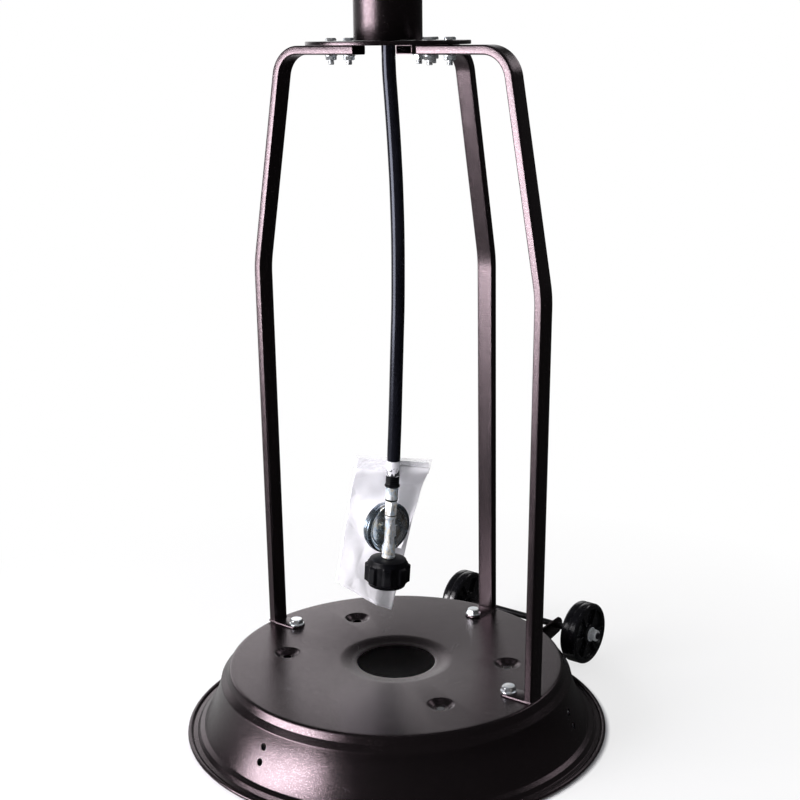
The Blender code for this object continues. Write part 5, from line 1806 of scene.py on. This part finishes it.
@dataclass
class Column:
    """The round flange on the legs and the post that stands on it."""

    flange_radius: float = 0.0815
    flange_sheet: float = 0.004
    flange_mid: float = 0.7259
    hose_hole: float = 0.0074
    post_radius: float = 0.034
    post_wall: float = 0.0015
    post_foot: float = 0.7282
    post_top: float = 1.6982

    def build(self) -> None:
        """Make the flange and the post."""
        low, high = self.flange_mid - self.flange_sheet / 2, self.flange_mid + self.flange_sheet / 2
        hole, rim = self.hose_hole, self.flange_radius
        corners = [(hole, high), (hole, low), (rim, low), (rim, high)]
        loop = rounded_loop(((hole + rim) / 2, high), corners, 0.0008, 3)
        make_piece(Shape().turned(loop, 120, closed=True), "round_flange", POWDER, "post_flange")
        outer, inner = self.post_radius, self.post_radius - self.post_wall
        low, high = self.post_foot, self.post_top
        corners = [(outer, high), (inner, high), (inner, low), (outer, low)]
        loop = rounded_loop((outer, (low + high) / 2), corners, 0.0005, 2)
        make_piece(Shape().turned(loop, 120, closed=True), "round_post", POWDER, "post")


# Wheels


@dataclass
class WheelSet:
    """The two moulded wheels on their axle, the bracket that holds it and its nuts and screws."""

    dish: BaseDish
    radius: float = 0.0365
    width: float = 0.0215
    edge: float = 0.004
    web_depth: float = 0.0045
    rim_wall: float = 0.0065
    hub_radius: float = 0.0115
    bore_gap: float = 0.0004
    ribs: int = 6
    rib_width: float = 0.0024
    track: float = 0.1735
    axle_radius: float = 0.004
    axle_reach: float = 0.2508
    axle_height: float = 0.0381
    nut_flats: float = 0.013
    nut_height: float = 0.0075
    nut_chamfer: float = 0.0013
    thread_end: float = 0.00225
    axle_chamfer: float = 0.0007
    washer_radius: float = 0.0085
    washer_sheet: float = 0.0014
    bracket_sheet: float = 0.002
    bracket_gap: float = 0.0008
    bracket_half_width: float = 0.0535
    bracket_heights: Flat = (0.0195, 0.0435)
    bracket_steps: int = 24
    lug_radius: float = 0.0095
    screw_height: float = 0.0355

    def across(self, distance: float) -> Vector:
        """Return the level step to the left along the axle."""
        return polar(distance, REAR + pi / 2)

    def along_axle(self, sideways: float, outward: float = 1.0) -> Matrix:
        """Return the placement on the axle at a distance from its middle.

        Args:
            sideways: The distance, to the left where it is positive.
            outward: 1 for a Z axis that looks left, -1 for one that looks right.

        Returns:
            The placement.
        """
        place = polar(self.axle_reach, REAR, self.axle_height) + self.across(sideways)
        turn = Matrix.Rotation(REAR, 4, "Z") @ Matrix.Rotation(-outward * pi / 2, 4, "X")
        return Matrix.Translation(place) @ turn

    def half_profile(self) -> Profile:
        """Return the wheel's section from its bore over one face to the tread, as (radius, distance out)."""
        half, inner = self.width / 2, self.radius - self.rim_wall
        web, bore, hub = half - self.web_depth, self.axle_radius + self.bore_gap, self.hub_radius
        corners = [
            (bore, half - 0.0008), (bore + 0.0008, half), (hub, half), (hub + 0.001, web),
            (inner - 0.0012, web), (inner, half - 0.0006), (inner + 0.0012, half),
            (self.radius - self.edge, half),
        ]
        line = rounded(corners, (0.0, 0.001, 0.0012, 0.0016, 0.0004, 0.0004), 4)
        tread = arc((self.radius - self.edge, half - self.edge), self.edge, 90, 8, 7)
        crown = [(self.radius - 0.0001, 0.003), (self.radius, 0.0006), (self.radius - 0.0002, 0.0002)]
        return line + tread[1:] + crown

    def build_wheel(self, side: str, body: Body, outward: float) -> None:
        """Make a wheel with its ribs.

        Args:
            side: The side that it is on.
            body: The body it rides on.
            outward: 1 for the left wheel and -1 for the right one.
        """
        upper = self.half_profile()
        loop = upper + [(radius, -level) for radius, level in reversed(upper)]
        place = self.along_axle(outward * self.track / 2, outward)
        shape = Shape().turned(loop, 120, place, closed=True)
        inner = self.radius - self.rim_wall
        for azimuth in circle_angles(self.ribs):
            rib = place @ upright(polar((inner + self.hub_radius) / 2, azimuth), azimuth)
            shape.block((inner - self.hub_radius + 0.001, self.rib_width, self.width - 0.002), rib, 0.0006)
        make_piece(shape, f"moulded_wheel_{side}", WHEEL_BLACK, f"wheel_{side}", body)

    def build_axle(self) -> None:
        """Make the axle rod and its plated nuts."""
        seat = self.track / 2 + self.width / 2 + SEAT_GAP
        reach = seat + self.washer_sheet + self.nut_height + self.thread_end
        edge, radius = self.axle_chamfer, self.axle_radius - 0.0001
        half = [(0, reach), (radius - edge, reach), (radius, reach - edge)]
        rod = [(out, -along) for out, along in half] + half[::-1]
        make_piece(Shape().turned(rod, 32, self.along_axle(0)), "wheel_axle_rod", AXLE_STEEL, "wheel_axle")
        for name, outward in (("left", 1), ("right", -1)):
            nut = hex_body(self.nut_flats, self.nut_height, self.nut_chamfer)
            washer = ring_section(self.axle_radius, self.washer_radius, 0, self.washer_sheet)
            shape = Shape().merge(nut, raised(self.washer_sheet)).turned(rounded(washer, 0.0003, 2), 40)
            whole = Shape().merge(shape, self.along_axle(outward * seat, outward))
            make_piece(whole, f"axle_end_nut_{name}", PAINTED_LIGHT_NUT_ZINC, f"axle_nut_{name}")

    def build_bracket(self) -> None:
        """Make the bracket: a band against the flank and an ear for each end of the axle."""
        low, high = self.bracket_heights
        heights = [low + (high - low) * share for share in shares(6)]
        face = [(self.dish.flank_at(height)[0] + self.bracket_gap, height) for height in heights]
        half_angle = asin(self.bracket_half_width / self.dish.flank_at(high)[0])
        loop = sheet_loop(face, self.bracket_sheet)
        turns = [REAR - half_angle + 2 * half_angle * share for share in shares(self.bracket_steps)]
        rings = [[polar(radius, turn, height) for radius, height in loop] for turn in turns]
        band = Shape().loft(rings, lids=True)
        band.soften(0.0004)
        offset = self.bracket_half_width - self.bracket_sheet
        middle = self.bracket_sheet / 2
        inner = [(sqrt((radius + middle) ** 2 - offset**2), height) for radius, height in face]
        lug = arc((self.axle_reach, self.axle_height), self.lug_radius, 95, -80, 20)
        turn = Matrix.Rotation(REAR, 4, "Z") @ Matrix.Rotation(pi / 2, 4, "X")
        for step in (-offset, offset):
            band.plate(inner + lug, self.bracket_sheet, Matrix.Translation(self.across(step)) @ turn, 0.0003)
        make_piece(band, "axle_bracket", POWDER, "wheel_bracket")
        seat = self.bracket_gap + self.bracket_sheet + SEAT_GAP
        for name, sign in (("left", 1), ("right", -1)):
            place = self.dish.square_to_flank(REAR + sign * 0.4 * half_angle, self.screw_height, seat)
            whole = Shape().merge(BRACKET_SCREW.shape(), place)
            make_piece(whole, f"bracket_hex_screw_{name}", BOLT_ZINC, f"bracket_screw_{name}")

    def build(self) -> None:
        """Make the wheels, axle and bracket."""
        self.build_wheel("left", Body.LEFT_WHEEL, 1)
        self.build_wheel("right", Body.RIGHT_WHEEL, -1)
        self.build_axle()
        self.build_bracket()


# Burner head and reflector


@dataclass
class ControlBowl:
    """The control bowl on the post, with its knob and igniter."""

    radius: float = 0.094
    sheet: float = 0.0012
    collar_radius: float = 0.0355
    foot: float = 1.6532
    cone_foot: float = 1.6985
    cone_top: float = 1.7732
    top: float = 1.8982
    base_round: float = 0.012
    slots: int = 8
    slot_size: Flat = (0.006, 0.03)
    slot_drop: float = 0.024
    slot_cut: float = 0.008
    pin_cut: float = 0.01
    spindle_hole: float = 0.0052
    valve_height: float = 1.8282
    knob_gap: float = 0.0042
    knob_radius: float = 0.021
    knob_length: float = 0.017
    skirt_radius: float = 0.0245
    skirt_length: float = 0.004
    grip_width: float = 0.009
    grip_height: float = 0.007
    knob_ribs: int = 40
    rib_share: float = 0.014
    pointer_size: Point = (0.009, 0.0014, 0.0004)
    igniter_azimuth: float = radians(-58)
    bezel_radius: float = 0.0125
    bezel_length: float = 0.0035
    barrel_radius: float = 0.0095
    barrel_length: float = 0.03
    bore_depth: float = 0.014
    button_gap: float = 0.0003
    button_radius: float = 0.0068
    button_length: float = 0.012
    button_proud: float = 0.0042

    def out_of_wall(self, azimuth: float, reach: float) -> Matrix:
        """Return the placement at the valve's height, square to the wall and at a reach from the post."""
        return facing(polar(reach, azimuth, self.valve_height), polar(1.0, azimuth))

    def build_bowl(self) -> None:
        """Make the bowl: its collar, cone and slotted wall with a folded top edge."""
        lip, bend = self.radius - self.sheet - 0.003, self.base_round
        line = [
            (lip, self.top - 0.0014), (lip, self.top), (self.radius, self.top),
            (self.radius, self.cone_top + bend / 2), (self.radius - bend, self.cone_top),
            (self.collar_radius, self.cone_foot), (self.collar_radius, self.foot),
        ]
        line = rounded(line, (0.0004, 0.0022, bend, bend, 0.004), 8)
        shape = Shape().turned(sheet_loop(line, self.sheet), 144, closed=True)
        cutters = Shape()
        width, height = self.slot_size
        middle, half = self.top - self.slot_drop - height / 2, (height - width) / 2
        slot = arc((0, half), width / 2, 0, 180, 8) + arc((0, -half), width / 2, 180, 360, 8)
        for azimuth in [angle + pi / self.slots for angle in circle_angles(self.slots)]:
            place = facing(polar(self.radius, azimuth, middle), polar(1.0, azimuth))
            cutters.plate(slot, self.slot_cut, place)
        holes = ((FRONT, self.spindle_hole), (self.igniter_azimuth, self.barrel_radius + self.button_gap))
        for azimuth, radius in holes:
            cutters.turned(pin_section(radius, self.pin_cut), 32, self.out_of_wall(azimuth, self.radius))
        make_piece(shape.pierced(cutters), "slotted_control_bowl", POWDER, "control_bowl")

    def build_knob(self) -> None:
        """Make the control knob: skirt, ribbed side, grip bar and a plain white pointer."""
        length, radius, skirt = self.knob_length, self.knob_radius, self.skirt_radius
        corners = [
            (0.0043, 0), (skirt - 0.0006, 0), (skirt, 0.0008), (skirt - 0.0008, self.skirt_length),
            (radius, self.skirt_length + 0.0006), (radius - 0.0012, length - 0.0012),
            (radius - 0.003, length), (0, length),
        ]

        def ribbed(azimuth: float, level: float) -> float:
            """Return the factor that the ribs put on the radius above the skirt."""
            share = self.rib_share if level > self.skirt_length + 0.001 else 0
            return 1 + share * cos(self.knob_ribs * azimuth)

        place = self.out_of_wall(FRONT, self.radius + self.knob_gap)
        shape = Shape().turned(rounded(corners, 0.0008, 3), 160, place, swell=ribbed)
        grip = raised(length + self.grip_height / 2 - 0.001)
        bar = (2 * radius - self.grip_width, self.grip_width, self.grip_height + 0.002)
        shape.block(bar, place @ grip, 0.0016)
        make_piece(shape, "ribbed_control_knob", HANDLE_BLACK, "control_knob", Body.KNOB, 35.0)
        mark = Matrix.Translation((radius - self.grip_width, 0, length + self.grip_height))
        pointer = Shape().block(self.pointer_size, place @ mark, 0.0001)
        make_piece(pointer, "knob_pointer", SLEEVING, body=Body.KNOB)

    def build_igniter(self) -> None:
        """Make the igniter's housing and its red button."""
        bore, bezel, barrel = self.button_radius + self.button_gap, self.bezel_radius, self.barrel_radius
        high, floor, end = self.bezel_length, self.bezel_length - self.bore_depth, -self.barrel_length
        corners = [
            (0, floor), (bore, floor), (bore, high), (bezel - 0.0012, high), (bezel, 0.001), (bezel, 0),
            (barrel, 0), (barrel, end), (0, end),
        ]
        seat = self.radius + SEAT_GAP
        shape = Shape().turned(rounded(corners, 0.0005, 3), 64, self.out_of_wall(self.igniter_azimuth, seat))
        make_piece(shape, "igniter_black_housing", HANDLE_BLACK, "igniter_housing")
        reach = seat + self.bezel_length + self.button_proud - self.button_length
        radius, length = self.button_radius, self.button_length
        crown = [
            (0, 0), (radius, 0), (radius, length - 0.0012), (radius - 0.0014, length - 0.0003),
            (radius * 0.5, length - 0.0001), (0, length),
        ]
        shape = Shape().turned(rounded(crown, 0.0006, 3), 48, self.out_of_wall(self.igniter_azimuth, reach))
        make_piece(shape, "igniter_red_button", BUTTON_RED, "igniter_button", Body.BUTTON)

    def build(self) -> None:
        """Make the bowl, knob and igniter."""
        self.build_bowl()
        self.build_knob()
        self.build_igniter()


@dataclass(frozen=True)
class Spacer:
    """A threaded spacer between the emitter's cap and the reflector, one of a few in a circle."""

    count: int = 3
    circle: float = 0.06
    foot: float = 2.1556
    length: float = 0.046
    radius: float = 0.0055
    spigot_radius: float = 0.003
    spigot_drop: float = 0.0057
    pitch: float = 0.001


@dataclass
class Emitter:
    """The slotted emitter screen and its cap."""

    foot_radius: float = 0.099
    top_radius: float = 0.094
    sheet: float = 0.001
    foot: float = 1.9008
    height: float = 0.235
    rows: int = 4
    columns: int = 12
    slot_size: Flat = (0.016, 0.034)
    margin: float = 0.022
    cap_radius: float = 0.1015
    cap_sheet: float = 0.0012
    cap_skirt: float = 0.02
    cap_face: float = 2.1373
    cap_top: float = 2.1553
    spacer: Spacer = Spacer()

    def wall_place(self, azimuth: float, height: float, inset: float) -> Vector:
        """Return a place on the screen's wall at a height above its foot."""
        radius = self.foot_radius + (self.top_radius - self.foot_radius) * height / self.height
        return polar(radius - inset, azimuth, self.foot + height)

    def slot_cell(
        self, azimuth: float, height: float, width: float, pitch: float
    ) -> list[tuple[Flat, Flat]]:
        """Return matching places round a slot's edge and round its cell, as (azimuth, height).

        Args:
            azimuth: The slot's azimuth.
            height: Its middle's height above the screen's foot.
            width: The cell's width as an angle.
            pitch: The cell's height.

        Returns:
            The pairs of places.
        """
        half_width, half_height = self.slot_size[0] / 2, self.slot_size[1] / 2
        pairs = []
        count = 8
        for turn in range(4):
            for index in range(count):
                share = 2 * index / count - 1
                square = [(share, -1.0), (1.0, share), (-share, 1.0), (-1.0, -share)][turn]
                stretch = (abs(square[0]) ** 6 + abs(square[1]) ** 6) ** (1 / 6)
                edge = (square[0] / stretch * half_width / self.foot_radius + azimuth,
                        square[1] / stretch * half_height + height)
                cell = (azimuth + square[0] * width / 2, height + square[1] * pitch / 2)
                pairs.append((edge, cell))
        return pairs

    def build_screen(self) -> None:
        """Make the screen: staggered rows of slots in a thin cone of sheet."""
        pitch = (self.height - 2 * self.margin) / self.rows
        width = tau / self.columns
        shape = Shape()
        for row in range(self.rows):
            middle = self.margin + pitch * (row + 0.5)
            for column in range(self.columns):
                azimuth = width * (column + 0.5 * (row % 2))
                pairs = self.slot_cell(azimuth, middle, width, pitch)
                loops = []
                for inset in (0.0, self.sheet):
                    loops.append([self.wall_place(*edge, inset) for edge, _ in pairs])
                    loops.append([self.wall_place(*cell, inset) for _, cell in pairs])
                shape.loft([loops[1], loops[0], loops[2], loops[3]])
        for low, high in ((0.0, self.margin), (self.height - self.margin, self.height)):
            levels = [(low, 0.0), (high, 0.0), (high, self.sheet), (low, self.sheet)]
            angles = circle_angles(8 * self.columns)
            rings = [[self.wall_place(angle, *level) for angle in angles] for level in levels]
            shape.loft(rings, closed=True)
        make_piece(shape, "slotted_emitter_screen", STAINLESS, "emitter_screen", crease=50.0)

    def build_cap(self) -> None:
        """Make the cap with its flat rim and turned-down skirt."""
        face, rim = self.cap_face, self.top_radius - self.sheet - self.cap_sheet
        line = [
            (0, self.cap_top), (self.spacer.circle + 2 * self.spacer.radius, self.cap_top), (rim, face),
            (self.cap_radius, face), (self.cap_radius, face - self.cap_skirt),
        ]
        line = rounded(line, (0.004, 0.002, 0.0018), 6)
        shape = Shape().turned(sheet_loop(line, self.cap_sheet), 144)
        make_piece(shape, "domed_emitter_cap", STAINLESS, "emitter_cap")

    def build(self) -> None:
        """Make the screen and its cap."""
        self.build_screen()
        self.build_cap()


@dataclass
class Reflector:
    """The spun reflector, its spacers and wing nuts."""

    radius: float = 0.4052
    sheet: float = 0.001
    crown_radius: float = 0.085
    drop: float = 0.082
    lip: float = 0.02
    lip_reach: float = 0.012
    bow: float = 0.01
    top: float = 2.2029
    spacer: Spacer = Spacer()
    hub_gap: float = 0.0003
    wing_radius: float = 0.0065
    wing_height: float = 0.0074
    wing_span: float = 0.03
    wing_sheet: float = 0.0022

    def build_shell(self) -> None:
        """Make the reflector's shell: crown, bowed slope, turned-down lip and rolled edge."""
        slope = self.drop - self.lip
        span = self.radius - self.lip_reach - self.crown_radius
        line = [(0, self.top), (self.crown_radius, self.top)]
        count = 18
        for share in shares(count)[1:]:
            rise = 4 * self.bow * share * (1 - share)
            line.append((self.crown_radius + span * share, self.top - slope * share + rise))
        line.append((self.radius, self.top - self.drop))
        radii = [0.01] + [0.0] * (count - 1) + [0.006]
        shape = Shape().turned(sheet_loop(rounded(line, radii, 6), self.sheet), 180)
        make_piece(shape, "spun_reflector", SPUN_ALUMINIUM, "reflector")

    def wing_nut(self) -> Shape:
        """Return a wing nut that stands on Z = 0."""
        bore, high, half = self.spacer.spigot_radius + self.hub_gap, self.wing_height, self.wing_span / 2
        hub = [(bore, 0), (self.wing_radius, 0), (self.wing_radius - 0.0012, high), (bore, high)]
        nut = Shape().turned(rounded(hub, 0.0006, 3), 32)
        root = (0.0035, high * 0.12)
        corners = [(half - 0.002, high * 0.42), (half, high), (half - 0.005, high), (0.004, high * 0.8)]
        wing = rounded_loop(root, corners, 0.0018, 4)
        for turn in (pi, 0.0):
            place = Matrix.Rotation(turn, 4, "Z") @ Matrix.Rotation(pi / 2, 4, "X")
            nut.plate(wing, self.wing_sheet, place, 0.0005)
        return nut

    def spacer_shape(self) -> Shape:
        """Return a spacer that stands on Z = 0, with a spigot through the reflector and a thread below."""
        spacer = self.spacer
        section = rounded(ring_section(0, spacer.radius, 0, spacer.length), 0.0008, 3)
        thread = spacer.spigot_radius - 0.0001
        above = thread_body(thread, 2 * SEAT_GAP + self.wing_height, spacer.pitch)
        shape = Shape().turned(section, 32).merge(above, raised(spacer.length) @ Matrix.Rotation(pi, 4, "X"))
        return shape.merge(thread_body(thread, spacer.spigot_drop, spacer.pitch))

    def build_spacers(self) -> None:
        """Make the threaded spacers and their wing nuts."""
        for index in range(self.spacer.count):
            azimuth = FRONT + tau * index / self.spacer.count
            base = upright(polar(self.spacer.circle, azimuth, self.spacer.foot), azimuth)
            shape = Shape().merge(self.spacer_shape(), base)
            make_piece(shape, f"threaded_spacer_{index + 1}", STAINLESS, f"reflector_spacer_{index + 1}")
            seat = upright(polar(self.spacer.circle, azimuth, self.top + SEAT_GAP), azimuth)
            nut = Shape().merge(self.wing_nut(), seat)
            make_piece(nut, f"winged_nut_{index + 1}", BOLT_ZINC, f"reflector_wing_nut_{index + 1}")

    def build(self) -> None:
        """Make the reflector and what holds it."""
        self.build_shell()
        self.build_spacers()


HIDDEN_NODES = {
    "hose_in_post": HOSE_RUBBER,
    "gas_valve": BRASS,
    "valve_spindle": BRASS,
    "burner_deck": STAINLESS,
    "burner_tube": STAINLESS,
    "burner_head": STAINLESS,
    "pilot_tube": STAINLESS,
}


def main() -> None:
    """Build the studio and the whole heater, from the floor up."""
    logging.basicConfig(level=logging.INFO, format="%(name)s: %(message)s")
    studio = Studio()
    studio.place_camera()
    hose = GasHose()
    free = hose.build()
    line = HangingLine()
    hose.declare(free, HoseEnd(line).build() + Regulator(line).build())
    leaflet = Leaflet()
    leaflet.declare(*leaflet.build())
    dish = BaseDish()
    dish.build()
    for side in Side:
        BentLeg(side, dish).build()
    Column().build()
    WheelSet(dish).build()
    ControlBowl().build()
    Emitter().build()
    Reflector().build()
    for node, finish in HIDDEN_NODES.items():
        dress_node(node, finish)
    studio.build()


if __name__ == "__main__":
    main()
